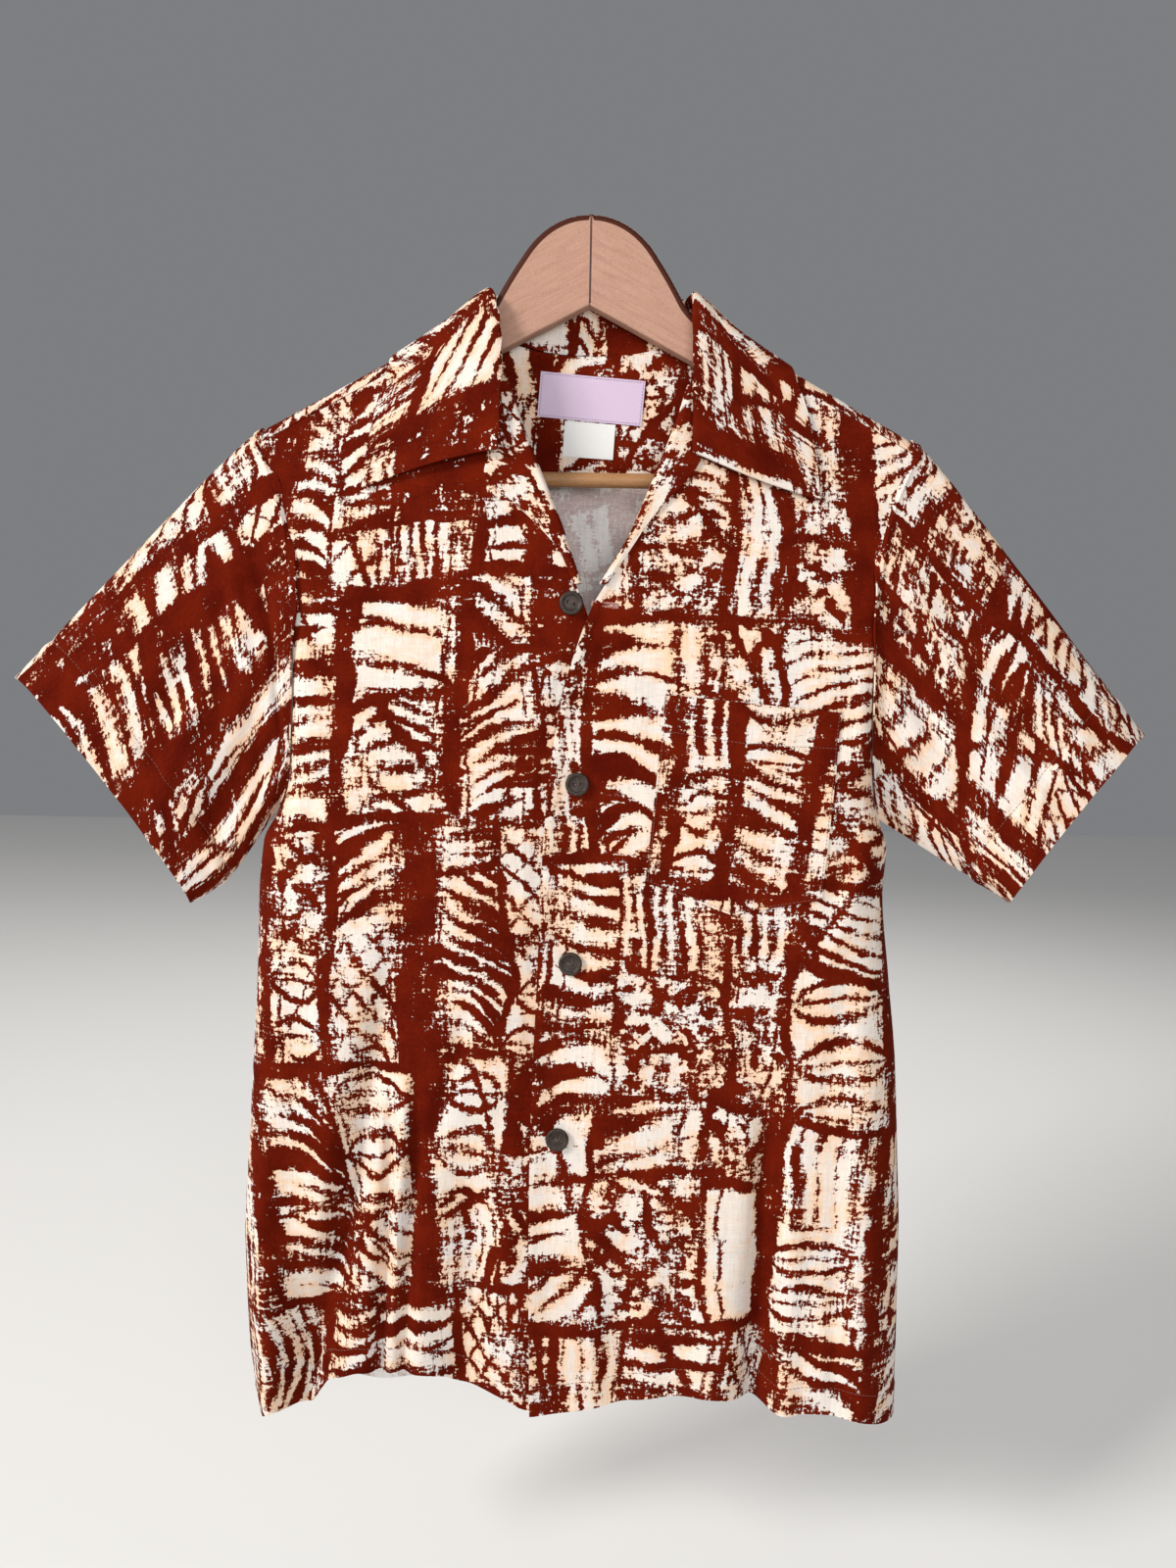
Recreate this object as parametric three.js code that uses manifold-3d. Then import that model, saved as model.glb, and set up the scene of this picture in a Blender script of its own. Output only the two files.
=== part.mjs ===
// A short-sleeved aloha shirt with an open camp collar, hanging on a flat wooden hanger.
// Millimetres, +Z up. The front faces -Y, and +X is on the right as seen from the front.
// The origin is where the hanger is held: the middle of the peg hole, at the back of its head.
import * as THREE from "three";
import { mergeVertices } from "three/addons/utils/BufferGeometryUtils.js";
import Module from "manifold-3d";

const wasm = await Module();
wasm.setup();

// Driving dimensions
const CLOTH = 1.2; // wall of a single panel
const COLLAR_CLOTH = 1.6; // two layers with interfacing
const TRIM = 0.8; // labels
const SEAM_GAP = 0.6; // between two panels that are sewn together
const UNDERARM_Z = -362;
const HEM_Z = -752; // nominal, before the hem's own rise and fall
const SEAM_DROP = 8; // the shoulder seam lies this far below the ridge, on the front
const NECK = { x: 69, z: -41.5 }; // where the neckline crosses the shoulder ridge
const SHOULDER = { tipX: 212, slope: 0.549 };
const RIDGE = { y: -5.5, halfWidth: 7.4 }; // the cloth's round over the hanger's arm
const HANGER = { thickness: 11, bevel: 2.4, split: 0.3, barRadius: 4.75, barZ: -144.7 };
const PEG = { holeRadius: 4.5, depth: 6 };
const BUTTON = { radius: 7.4, thickness: 2.6, holeRadius: 1.1, holeSpacing: 3.6 };

// How far in front of or behind the hanger the cloth hangs, by its drop below the shoulder ridge
const FALL = [
  { drop: 8, front: -12.9, back: 1.9 },
  { drop: 16, front: -13.8, back: 4.2 },
  { drop: 30, front: -16.5, back: 5.6 },
  { drop: 56, front: -22, back: 7 },
  { drop: 100, front: -30, back: 9 },
  { drop: 160, front: -38.5, back: 12 },
  { drop: 230, front: -44, back: 14.5 },
  { drop: 330, front: -46, back: 16 },
  { drop: 520, front: -46, back: 16 },
  { drop: 760, front: -45, back: 15 },
];

// The body's outer edge, from the hem up the side seam and the armhole to the shoulder seam. x is
// the same on both sides, and lean moves both edges to the right
const SIDE = [
  { z: -752, x: 212.5, lean: 5, front: -18, back: -18, curl: 34 },
  { z: -700, x: 216.5, lean: 1, front: -17, back: -17, curl: 34 },
  { z: -640, x: 217.5, lean: -0.6, front: -16, back: -16, curl: 34 },
  { z: -580, x: 214.5, lean: -0.7, front: -15, back: -15, curl: 34 },
  { z: -520, x: 211, lean: -1, front: -15, back: -15, curl: 34 },
  { z: -460, x: 206, lean: -3, front: -15, back: -15, curl: 33 },
  { z: -410, x: 202.8, lean: -5.2, front: -14, back: -14, curl: 30 },
  { z: -380, x: 202, lean: -3, front: -13.2, back: -13.2, curl: 26 },
  { z: -362, x: 195, lean: -1, front: -13, back: -13, curl: 22 },
  { z: -340, x: 187, lean: 0, front: -20, back: -3, curl: 17 },
  { z: -315, x: 184, lean: 0, front: -27, back: 5, curl: 13 },
  { z: -285, x: 182.5, lean: 0, front: -32, back: 9, curl: 11 },
  { z: -250, x: 182.5, lean: 0, front: -33, back: 9.5, curl: 10 },
  { z: -216, x: 186, lean: 0, front: -30, back: 8, curl: 9 },
  { z: -186, x: 192, lean: 0, front: -25, back: 6, curl: 8 },
  { z: -155, x: 201, lean: 0, front: -18.5, back: 4, curl: 6 },
  { z: -128, x: 212, lean: 0, front: -13, back: 1.9, curl: 4 },
];
const LOWER_LEVELS = [-752, -722, -690, -655, -620, -580, -540, -500, -460, -425, -392, -362];
const UPPER_LEVELS = [-340, -315, -285, -250, -216, -186, -163, -143, -128];

// Where each front's inner edge runs below the lapel. Above it the edge follows the lapel's roll
const BUTTON_STAND = {
  over: [
    { z: -760, x: -26 },
    { z: -656, x: -28 },
    { z: -590, x: -28.5 },
    { z: -526, x: -27.5 },
    { z: -463, x: -25.5 },
    { z: -400, x: -24 },
    { z: -338, x: -20 },
    { z: -289, x: -14 },
    { z: -253, x: -4 },
    { z: -228, x: 5 },
  ],
  under: [
    { z: -760, x: 8 },
    { z: -600, x: 7 },
    { z: -450, x: 9 },
    { z: -338, x: 11 },
    { z: -289, x: 11 },
    { z: -250, x: 7 },
    { z: -232, x: 2 },
  ],
};

// The hem's rise and fall along the front and the back, from its nominal level
const FRONT_HEM = [
  { x: -213, rise: -15 },
  { x: -203, rise: -10 },
  { x: -194, rise: -3 },
  { x: -186, rise: -3.5 },
  { x: -179, rise: -3.5 },
  { x: -172, rise: -1.5 },
  { x: -165, rise: 9 },
  { x: -158, rise: 18.5 },
  { x: -149, rise: 22.5 },
  { x: -138, rise: 26 },
  { x: -126, rise: 28 },
  { x: -114, rise: 27.5 },
  { x: -102, rise: 25 },
  { x: -86, rise: 22 },
  { x: -73, rise: 15.5 },
  { x: -60, rise: 11 },
  { x: -50, rise: 8.5 },
  { x: -40, rise: 6 },
  { x: -33, rise: 2 },
  { x: -26, rise: 0 },
  { x: 12, rise: 4 },
  { x: 40, rise: 9 },
  { x: 66, rise: 14.5 },
  { x: 90, rise: 15 },
  { x: 124, rise: 8 },
  { x: 139, rise: 3 },
  { x: 160, rise: 4 },
  { x: 182, rise: 4 },
  { x: 205, rise: -4 },
  { x: 213, rise: -6 },
];
const BACK_HEM = [
  { x: -213, rise: -10 },
  { x: -160, rise: -8 },
  { x: -110, rise: -8 },
  { x: -60, rise: -4 },
  { x: 0, rise: 2 },
  { x: 140, rise: 0 },
  { x: 213, rise: -6 },
];
const HEM_REACH = 110; // how far up a panel the hem's shape is felt

// Folds that run down the cloth, each deepest at the hem end. A positive depth sinks into the shirt
const FRONT_FOLDS = [
  { topX: -106, topZ: -400, endX: -177, endZ: -752, width: 16, depth: 14 },
  { topX: -108, topZ: -520, endX: -120, endZ: -752, width: 11, depth: 5 },
  { topX: -64, topZ: -480, endX: -68, endZ: -752, width: 22, depth: 11 },
  { topX: -200, topZ: -560, endX: -194, endZ: -752, width: 16, depth: -9 },
  { topX: -176, topZ: -230, endX: -182, endZ: -560, width: 13, depth: 5 },
  { topX: 30, topZ: -560, endX: 34, endZ: -752, width: 14, depth: 5 },
  { topX: 128, topZ: -520, endX: 121, endZ: -752, width: 14, depth: 9 },
  { topX: 88, topZ: -600, endX: 92, endZ: -752, width: 20, depth: -4 },
  { topX: 186, topZ: -430, endX: 184, endZ: -752, width: 16, depth: -6 },
];
const BACK_FOLDS = [
  { topX: -112, topZ: -200, endX: -128, endZ: -752, width: 24, depth: 9 },
  { topX: -52, topZ: -260, endX: -48, endZ: -752, width: 26, depth: 7 },
  { topX: 24, topZ: -230, endX: 20, endZ: -752, width: 24, depth: 8 },
  { topX: 96, topZ: -210, endX: 116, endZ: -752, width: 26, depth: 9 },
];

// The collar's sections, from the centre back to a front end, for the left side. The seam, the
// middle of the fall and its outer edge lie on the shoulders: x, then the distance from the ridge
// (front negative), then how far they stand off. The roll line is given in space
const COLLAR = [
  { seam: [0, 60.4, -0.8], roll: [0, 8.2, -31], middle: [0, 58, 6], edge: [0, 92, 2.2], shift: 1 },
  { seam: [20, 48.9, -0.8], roll: [18, 8, -30.5], middle: [24, 44, 6], edge: [30, 76.4, 2.2], shift: 1 },
  { seam: [38, 36.1, -0.8], roll: [34, 7.6, -30], middle: [44, 34, 6], edge: [60, 60.4, 2.2], shift: 1 },
  { seam: [54, 21.5, 0.1], roll: [49, 6.4, -29], middle: [65, 22, 6], edge: [90, 44, 2.2], shift: 1 },
  { seam: [66.5, 8.6, 1.8], roll: [61, 2.4, -28], middle: [82, 10, 6], edge: [113, 22.3, 2.6], shift: 0.5 },
  { seam: [69.5, 0, 1.9], roll: [64.6, -6.5, -27], middle: [90, 0, 5.5], edge: [124, 0, 2.6], shift: 0.5 },
  { seam: [70, -8, 1.9], roll: [63.5, -15, -30], middle: [93, -8, 5.5], edge: [131.5, -12, 2.6], shift: 2 },
  { seam: [69.5, -22, 2], roll: [61, -21.5, -46], middle: [95, -19, 6], edge: [136, -26, 2.4], shift: 4 },
  { seam: [68.5, -42, 2.2], roll: [60, -27, -72], middle: [97, -41, 6], edge: [139, -42, 2.6], shift: 5.5 },
  { seam: [68, -66, 2.3], roll: [60, -32.5, -102], middle: [98, -65, 6], edge: [141.5, -58, 3], shift: 5.5 },
  { seam: [68, -86, 2.4], roll: [60.4, -37.5, -132], middle: [99, -86, 6], edge: [143.5, -75, 3.4], shift: 5.5 },
];
const COLLAR_ROLL = 2.4; // half the gap between the stand and the fall just below the roll line
const TIP_SHIFT = 3; // the points of the collar sit this far to the right of the hanger's middle

// The lapels: the roll line, and how far the turned edge reaches out from it
const LAPELS = {
  under: [
    { z: -214, x: -2, reach: 4.5 },
    { z: -196, x: -8.5, reach: 6 },
    { z: -180, x: -14, reach: 14 },
    { z: -165, x: -20, reach: 24 },
    { z: -148, x: -27, reach: 36 },
    { z: -128, x: -35.5, reach: 22 },
    { z: -106, x: -44, reach: 11 },
    { z: -88, x: -51, reach: 6 },
  ],
  over: [
    { z: -214, x: 9.5, reach: 4.5 },
    { z: -200, x: 18, reach: 5 },
    { z: -182, x: 28, reach: 6.5 },
    { z: -165, x: 35, reach: 12 },
    { z: -150, x: 41, reach: 20 },
    { z: -137, x: 46, reach: 24 },
    { z: -110, x: 56, reach: 13 },
    { z: -88, x: 62.5, reach: 6 },
  ],
};
const LAPEL_ROLL = 3.4; // the roll stands this far inside the front's own edge
// The lapel's section: its distance out from the roll line, and its offset from the front
const LAPEL_PROFILE = [
  { out: 13, offset: 1.9 },
  { out: 7, offset: 2.2 },
  { out: 3, offset: 2.6 },
  { out: 0.8, offset: 1.6 },
  { out: 0, offset: -0.2 },
  { out: 0.8, offset: -1.9 },
  { out: 3, offset: -2.7 },
];
const LAPEL_EDGE_OFFSET = -2;

// The sleeves, as seen from the front: the cuff's two ends, how far it opens, the cap's bulge, how
// far the cuff's front is drawn in towards the body, and how far the underside sags
const SLEEVES = {
  right_sleeve: {
    side: -1, top: [-367, -279], end: [-256, -423], depth: 15, y: -14, cap: 2.5, pull: 10, sag: 7,
  },
  left_sleeve: {
    side: 1, top: [363.5, -303], end: [283, -413], depth: 27, y: -15, cap: 2.5, pull: 12, sag: 0,
  },
};
const SLEEVE_RINGS = 9;
const SLEEVE_FOLDS = [
  { around: 0.38, start: 0, end: 0.95, width: 0.045, depth: 6 },
  { around: 0.22, start: 0.05, end: 0.7, width: 0.05, depth: 3.5 },
  { around: 0.68, start: 0, end: 0.9, width: 0.06, depth: 5 },
];

const POCKET = { x: 107, z: -286, width: 111, height: 118, point: 15, turn: 0.085 };
const BUTTONS = [
  { name: "button_1", x: -8, z: -226, on: "under" },
  { name: "button_2", x: -2.2, z: -338, on: "over" },
  { name: "button_3", x: -4.5, z: -452, on: "over" },
  { name: "button_4", x: -11, z: -566, on: "over" },
];
const LABEL = { x: 3, z: -76.9, width: 68, height: 28.5, turn: 0.075 };
const TAG = { x: 1.6, z: -106.2, width: 33, height: 22.5, turn: 0.06 };
const FACING = { lowZ: -139, topHalf: 56, lowHalf: 80, offset: 2.3 };

const COLOURS = {
  print: 0xa65a3c,
  coconut: 0x43372c,
  wood: 0xb98a66,
  lilac: 0xd9c6dc,
  white: 0xeeebe6,
};

// Small helpers
const smooth = (t) => {
  const c = Math.min(1, Math.max(0, t));
  return c * c * (3 - 2 * c);
};
const mix = (a, b, t) => a + (b - a) * t;

// One column of a table as a smooth function of another, with slopes that never overshoot
function along(table, key, column) {
  const rows = [...table].sort((a, b) => a[key] - b[key]);
  const x = rows.map((r) => r[key]);
  const y = rows.map((r) => r[column]);
  const rise = x.slice(1).map((v, i) => (y[i + 1] - y[i]) / (v - x[i]));
  const slope = y.map((_, i) => {
    if (i === 0) return rise[0];
    if (i === rise.length) return rise[i - 1];
    const product = rise[i - 1] * rise[i];
    return product > 0 ? (2 * product) / (rise[i - 1] + rise[i]) : 0;
  });
  return (value) => {
    const v = Math.min(x[x.length - 1], Math.max(x[0], value));
    const i = Math.max(0, Math.min(x.length - 2, x.findIndex((s) => s >= v) - 1));
    const width = x[i + 1] - x[i];
    const t = (v - x[i]) / width;
    const t2 = t * t;
    const t3 = t2 * t;
    return (
      y[i] * (2 * t3 - 3 * t2 + 1) +
      slope[i] * width * (t3 - 2 * t2 + t) +
      y[i + 1] * (3 * t2 - 2 * t3) +
      slope[i + 1] * width * (t3 - t2)
    );
  };
}

const ridgeZ = (x) => NECK.z - (Math.min(Math.abs(x), SHOULDER.tipX) - NECK.x) * SHOULDER.slope;
const fallFront = along(FALL, "drop", "front");
const fallBack = along(FALL, "drop", "back");
const sideMiddle = along(SIDE, "z", "x");
const sideLean = along(SIDE, "z", "lean");
const sideX = (level, side) => sideMiddle(level) + side * sideLean(level);
const sideCurl = along(SIDE, "z", "curl");
const sideDepth = { front: along(SIDE, "z", "front"), back: along(SIDE, "z", "back") };
const hemRise = { front: along(FRONT_HEM, "x", "rise"), back: along(BACK_HEM, "x", "rise") };

function foldDepth(folds, x, z) {
  return folds.reduce((sum, fold) => {
    const run = (fold.topZ - z) / (fold.topZ - fold.endZ);
    const centre = mix(fold.topX, fold.endX, run);
    const across = (x - centre) / fold.width;
    return sum + fold.depth * smooth(run) * Math.exp(-across * across);
  }, 0);
}

const frontY = (x, z) => fallFront(ridgeZ(x) - z) + foldDepth(FRONT_FOLDS, x, z);
const backY = (x, z) => fallBack(ridgeZ(x) - z) - foldDepth(BACK_FOLDS, x, z);

// The under front tucks behind the over front along the button stand
const TUCK = { start: -62, end: -36, depth: 2.6 };
const underY = (x, z) => frontY(x, z) + TUCK.depth * smooth((x - TUCK.start) / (TUCK.end - TUCK.start));

// A wall of the given thickness around a sheet of quads. A quad lists its corners so that the
// sheet's outer side sees them anticlockwise
function wall(points, quads, thickness) {
  const normals = points.map(() => new THREE.Vector3());
  const diagonalA = new THREE.Vector3();
  const diagonalB = new THREE.Vector3();
  for (const quad of quads) {
    diagonalA.subVectors(points[quad[2]], points[quad[0]]);
    diagonalB.subVectors(points[quad[3]], points[quad[1]]);
    const normal = diagonalA.clone().cross(diagonalB);
    quad.forEach((corner) => normals[corner].add(normal));
  }
  const half = thickness / 2;
  const vertices = [half, -half].flatMap((offset) =>
    points.map((p, i) => p.clone().addScaledVector(normals[i].clone().normalize(), offset)),
  );
  const inner = points.length;
  const faces = [];
  const edges = new Map();
  for (const [a, b, c, d] of quads) {
    faces.push([a, b, c], [a, c, d]);
    faces.push([a + inner, c + inner, b + inner], [a + inner, d + inner, c + inner]);
    for (const [from, to] of [[a, b], [b, c], [c, d], [d, a]]) {
      if (!edges.delete(to + "_" + from)) edges.set(from + "_" + to, [from, to]);
    }
  }
  for (const [from, to] of edges.values()) {
    faces.push([to, from, from + inner], [to, from + inner, to + inner]);
  }
  return geometryOf(vertices, faces);
}

function geometryOf(vertices, faces) {
  const geometry = new THREE.BufferGeometry();
  const numbers = vertices.flatMap((v) => [v.x, v.y, v.z]);
  geometry.setAttribute("position", new THREE.Float32BufferAttribute(numbers, 3));
  geometry.setIndex(faces.flat());
  return geometry;
}

// The quads of a grid of rows. flip turns the sheet's outer side round, ring closes each row
function gridQuads(rowCount, columnCount, { flip = false, ring = false } = {}) {
  const quads = [];
  const columns = ring ? columnCount : columnCount - 1;
  for (let r = 0; r < rowCount - 1; r++) {
    for (let c = 0; c < columns; c++) {
      const next = (c + 1) % columnCount;
      const quad = [c, next, next + columnCount, c + columnCount].map((i) => i + r * columnCount);
      quads.push(flip ? quad.reverse() : quad);
    }
  }
  return quads;
}

function gridWall(rows, thickness, options) {
  return wall(rows.flat(), gridQuads(rows.length, rows[0].length, options), thickness);
}

// Solids for cutting and joining
function solidOf(geometry) {
  const bare = geometry.clone();
  bare.deleteAttribute("normal");
  bare.deleteAttribute("uv");
  const merged = mergeVertices(bare, 1e-4);
  return new wasm.Manifold(
    new wasm.Mesh({
      numProp: 3,
      vertProperties: new Float32Array(merged.attributes.position.array),
      triVerts: new Uint32Array(merged.index.array),
    }),
  );
}

function geometryOfSolid(solid) {
  const mesh = solid.getMesh();
  const geometry = new THREE.BufferGeometry();
  geometry.setAttribute("position", new THREE.Float32BufferAttribute(mesh.vertProperties, 3));
  geometry.setIndex([...mesh.triVerts]);
  return geometry;
}

// A cylinder along Y, from one depth to another
function rod(radius, fromY, toY, x, z, sides = 16) {
  const geometry = new THREE.CylinderGeometry(radius, radius, toY - fromY, sides);
  return geometry.translate(x, (fromY + toY) / 2, z);
}

// The fronts

const FLAT_COLUMNS = 11;
const CURL_COLUMNS = 4;
const LEVELS = [...LOWER_LEVELS, ...UPPER_LEVELS];
const TOP_LEVEL = UPPER_LEVELS[UPPER_LEVELS.length - 1];

// How high a column reaches at an upper level, when its own top is known
const levelZ = (level, topZ) =>
  level <= UNDERARM_Z ? level : mix(UNDERARM_Z, topZ, (level - UNDERARM_Z) / (TOP_LEVEL - UNDERARM_Z));

const withHem = (face, x, z) => z + hemRise[face](x) * (1 - smooth((z - HEM_Z) / HEM_REACH));

// One row of a panel, from the inner edge to the outer: a flat stretch, then a quarter round
function panelRow({ level, side, face, innerX, topOf, depthAt, flats }) {
  const outerX = sideX(level, side);
  const curl = sideCurl(level);
  const edgeY = sideDepth[face](level) + (face === "front" ? -0.5 : 0.5) * SEAM_GAP;
  const points = flats.map((f) => {
    const x = mix(innerX, side * (outerX - curl), f);
    const z = withHem(face, x, levelZ(level, topOf(x)));
    return new THREE.Vector3(x, depthAt(x, z), z);
  });
  for (let k = 1; k <= CURL_COLUMNS; k++) {
    const angle = (k / CURL_COLUMNS) * (Math.PI / 2);
    const x = side * (outerX - curl + curl * Math.sin(angle));
    const z = withHem(face, x, levelZ(level, topOf(x)));
    const y = mix(depthAt(x, z), edgeY, 1 - Math.cos(angle));
    points.push(new THREE.Vector3(x, y, z));
  }
  return points;
}

const evenly = (count) => Array.from({ length: count + 1 }, (_, i) => i / count);
const frontTop = (x) => ridgeZ(Math.max(Math.abs(x), NECK.x)) - SEAM_DROP - SEAM_GAP;

function frontRows(side, stand, lapel, depthAt) {
  const roll = lapel.map(({ z, x }) => ({ z, x: x + side * LAPEL_ROLL }));
  const neck = { z: NECK.z - SEAM_DROP, x: side * (NECK.x + 1) };
  const edgeX = along([...stand, ...roll, neck], "z", "x");
  const innerTop = frontTop(NECK.x);
  return LEVELS.map((level) =>
    panelRow({
      level,
      side,
      face: "front",
      innerX: edgeX(levelZ(level, innerTop)),
      topOf: frontTop,
      depthAt,
      flats: evenly(FLAT_COLUMNS),
    }),
  );
}

const underFront = frontRows(-1, BUTTON_STAND.under, LAPELS.under, underY);
const overFront = frontRows(1, BUTTON_STAND.over, LAPELS.over, frontY);

// The back

const NECK_COLUMNS = 4; // from the centre back to the neckline's crossing of the ridge
const SHOULDER_COLUMNS = 7;
const NECK_DIP = 24; // the back neck's lowest point, below the neckline's crossing
const RIDGE_ANGLES = [1, 2, 3, 4].map((k) => (k / 4) * Math.PI);
const BACK_COLUMNS = NECK_COLUMNS + SHOULDER_COLUMNS + CURL_COLUMNS + 1;

// The back's top edge on its own side of the ridge: the neck curve, then the shoulder
const backTop = (x) => {
  const across = Math.min(1, Math.abs(x) / NECK.x);
  const neckDip = (NECK_DIP - SEAM_DROP) * (1 - across ** 2.6);
  return Math.min(ridgeZ(Math.max(Math.abs(x), NECK.x)), NECK.z) - SEAM_DROP - neckDip;
};

// One half of the back: rows up to the shoulder, then round over the ridge to the shoulder seam
function backHalf(side) {
  const rows = LEVELS.map((level) => {
    const outer = sideX(level, side) - sideCurl(level);
    const neckShare = NECK.x / outer;
    const flats = [
      ...evenly(NECK_COLUMNS).map((f) => f * neckShare),
      ...evenly(SHOULDER_COLUMNS).slice(1).map((f) => mix(neckShare, 1, f)),
    ];
    return panelRow({ level, side, face: "back", innerX: 0, topOf: backTop, depthAt: backY, flats });
  });
  const last = rows[rows.length - 1];
  const ridge = RIDGE_ANGLES.map((angle) =>
    last.slice(NECK_COLUMNS).map((p) => {
      const z = ridgeZ(p.x) - SEAM_DROP * (1 - Math.sin(angle));
      return new THREE.Vector3(p.x, RIDGE.y + RIDGE.halfWidth * Math.cos(angle), z);
    }),
  );
  return { rows, ridge };
}

const backSides = [backHalf(-1), backHalf(1)];

function backGeometry() {
  const points = [];
  const quads = [];
  backSides.forEach(({ rows, ridge }, i) => {
    const flip = i === 0;
    const start = points.length;
    points.push(...rows.flat());
    const body = gridQuads(rows.length, BACK_COLUMNS, { flip: !flip });
    quads.push(...body.map((quad) => quad.map((c) => c + start)));
    const lastRow = start + (rows.length - 1) * BACK_COLUMNS + NECK_COLUMNS;
    const width = BACK_COLUMNS - NECK_COLUMNS;
    const ridgeStart = points.length;
    points.push(...ridge.flat());
    for (const quad of gridQuads(ridge.length + 1, width, { flip: !flip })) {
      quads.push(quad.map((c) => (c < width ? lastRow + c : ridgeStart + c - width)));
    }
  });
  return weld(points, quads);
}

// Both halves of the back share the centre line's points
function weld(points, quads) {
  const seen = new Map();
  const kept = [];
  const index = points.map((p) => {
    const key = [p.x, p.y, p.z].map((v) => v.toFixed(3)).join();
    if (!seen.has(key)) {
      seen.set(key, kept.length);
      kept.push(p);
    }
    return seen.get(key);
  });
  return wall(kept, quads.map((quad) => quad.map((c) => index[c])), CLOTH);
}

// The sleeves

// The armhole as a loop: over the ridge, down the front edge, and up the back edge
function armhole(side) {
  const front = side < 0 ? underFront : overFront;
  const { rows, ridge } = backSides[side < 0 ? 0 : 1];
  const edge = (row) => row[row.length - 1].clone();
  const armRows = (list) => list.slice(LOWER_LEVELS.length).map(edge);
  const underarm = edge(front[LOWER_LEVELS.length - 1]);
  const overRidge = ridge.map(edge);
  return [
    overRidge[1],
    overRidge[2],
    ...armRows(front).reverse(),
    underarm,
    ...armRows(rows),
    overRidge[0],
  ];
}

function sleeveRings({ side, top, end, depth, y, cap, pull, sag }) {
  const loop = armhole(side);
  const lengths = loop.map((p, i) => p.distanceTo(loop[(i + 1) % loop.length]));
  const underarmIndex = loop.reduce((low, p, i) => (p.z < loop[low].z ? i : low), 0);
  const sum = (list) => list.reduce((a, b) => a + b, 0);
  const frontLength = sum(lengths.slice(0, underarmIndex));
  const backLength = sum(lengths.slice(underarmIndex));
  // around runs 0 to 0.5 down the front and on to 1 up the back
  const around = loop.map((_, i) =>
    i <= underarmIndex
      ? (0.5 * sum(lengths.slice(0, i))) / frontLength
      : 0.5 + (0.5 * sum(lengths.slice(underarmIndex, i))) / backLength,
  );
  const centre = new THREE.Vector3((top[0] + end[0]) / 2, y, (top[1] + end[1]) / 2);
  const half = new THREE.Vector3((top[0] - end[0]) / 2, 0, (top[1] - end[1]) / 2);
  const towardsBody = new THREE.Vector3(-side * half.z, 0, side * half.x).normalize();
  const outward = new THREE.Vector3(side * 0.7, 0, 0.7);
  const underneath = new THREE.Vector3(-side * 0.68, 0, -0.73);
  return Array.from({ length: SLEEVE_RINGS + 1 }, (_, ring) =>
    loop.map((p, i) => {
      const run = ring / SLEEVE_RINGS;
      const angle = around[i] * 2 * Math.PI;
      const cuff = centre.clone().addScaledVector(half, Math.cos(angle));
      cuff.y -= depth * Math.sin(angle);
      cuff.addScaledVector(towardsBody, pull * Math.max(0, Math.sin(angle)));
      const underarm = Math.exp(-(((around[i] - 0.5) / 0.06) ** 2));
      const away = cuff.clone().sub(p).normalize();
      const start = p.clone().addScaledVector(away, 1.5 + underarm);
      start.x += side * underarm;
      const point = start.lerp(cuff, run);
      const capShare = Math.max(0, Math.cos(angle)) ** 2 * Math.sin(Math.PI * run ** 0.45);
      point.addScaledVector(outward, cap * capShare);
      const sagShare = Math.max(0, -Math.cos(angle)) ** 2 * Math.sin(Math.PI * run ** 1.5);
      point.addScaledVector(underneath, sag * sagShare);
      return sleeveFold(point, around[i], run);
    }),
  );
}

function sleeveFold(point, around, run) {
  const inward = around < 0.5 ? 1 : -1;
  for (const fold of SLEEVE_FOLDS) {
    const reach = Math.max(0, Math.sin((Math.PI * (run - fold.start)) / (fold.end - fold.start)));
    const live = run > fold.start && run < fold.end ? reach : 0;
    const across = (around - fold.around) / fold.width;
    point.y += inward * fold.depth * live * Math.exp(-across * across);
  }
  return point;
}

// The collar

// Where along the table the collar is cut into sections, closest where it rounds the shoulder
const COLLAR_CUTS = [0, 1, 2, 3, 3.5, 3.9, 4.2, 4.5, 4.75, 5, 5.25, 5.5, 5.8, 6.2, 6.8, 7.5, 8.3, 9.1, 10];
const COLLAR_SECTION_STEPS = 13;

// A point on the shoulders, at a distance down from the ridge and standing off the cloth
function shoulderPoint(x, down, off) {
  const at = (px, pd) => {
    const drop = Math.abs(pd);
    const ridge = ridgeZ(px);
    if (drop < SEAM_DROP) {
      const angle = (Math.PI / 2) * (1 - pd / SEAM_DROP);
      const y = RIDGE.y + RIDGE.halfWidth * Math.cos(angle);
      return new THREE.Vector3(px, y, ridge - SEAM_DROP * (1 - Math.sin(angle)));
    }
    const z = ridge - drop;
    return new THREE.Vector3(px, pd < 0 ? frontY(px, z) : backY(px, z), z);
  };
  const step = 0.5;
  const across = at(x + step, down).sub(at(x - step, down));
  const downhill = at(x, down + step).sub(at(x, down - step));
  return at(x, down).addScaledVector(across.cross(downhill).normalize(), off);
}

function collarStation(cut, side) {
  const at = (key, axis) => {
    const column = COLLAR.map((station, i) => ({ i, v: axis === undefined ? station[key] : station[key][axis] }));
    return along(column, "i", "v")(cut);
  };
  const shift = at("shift");
  const onShoulder = (key, extra) =>
    shoulderPoint(side * at(key, 0) + extra, at(key, 1), at(key, 2));
  return {
    seam: onShoulder("seam", shift),
    roll: new THREE.Vector3(side * at("roll", 0) + shift, at("roll", 1), at("roll", 2)),
    middle: onShoulder("middle", shift),
    edge: onShoulder("edge", mix(shift, TIP_SHIFT, smooth(cut / (COLLAR.length - 1)))),
  };
}

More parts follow.
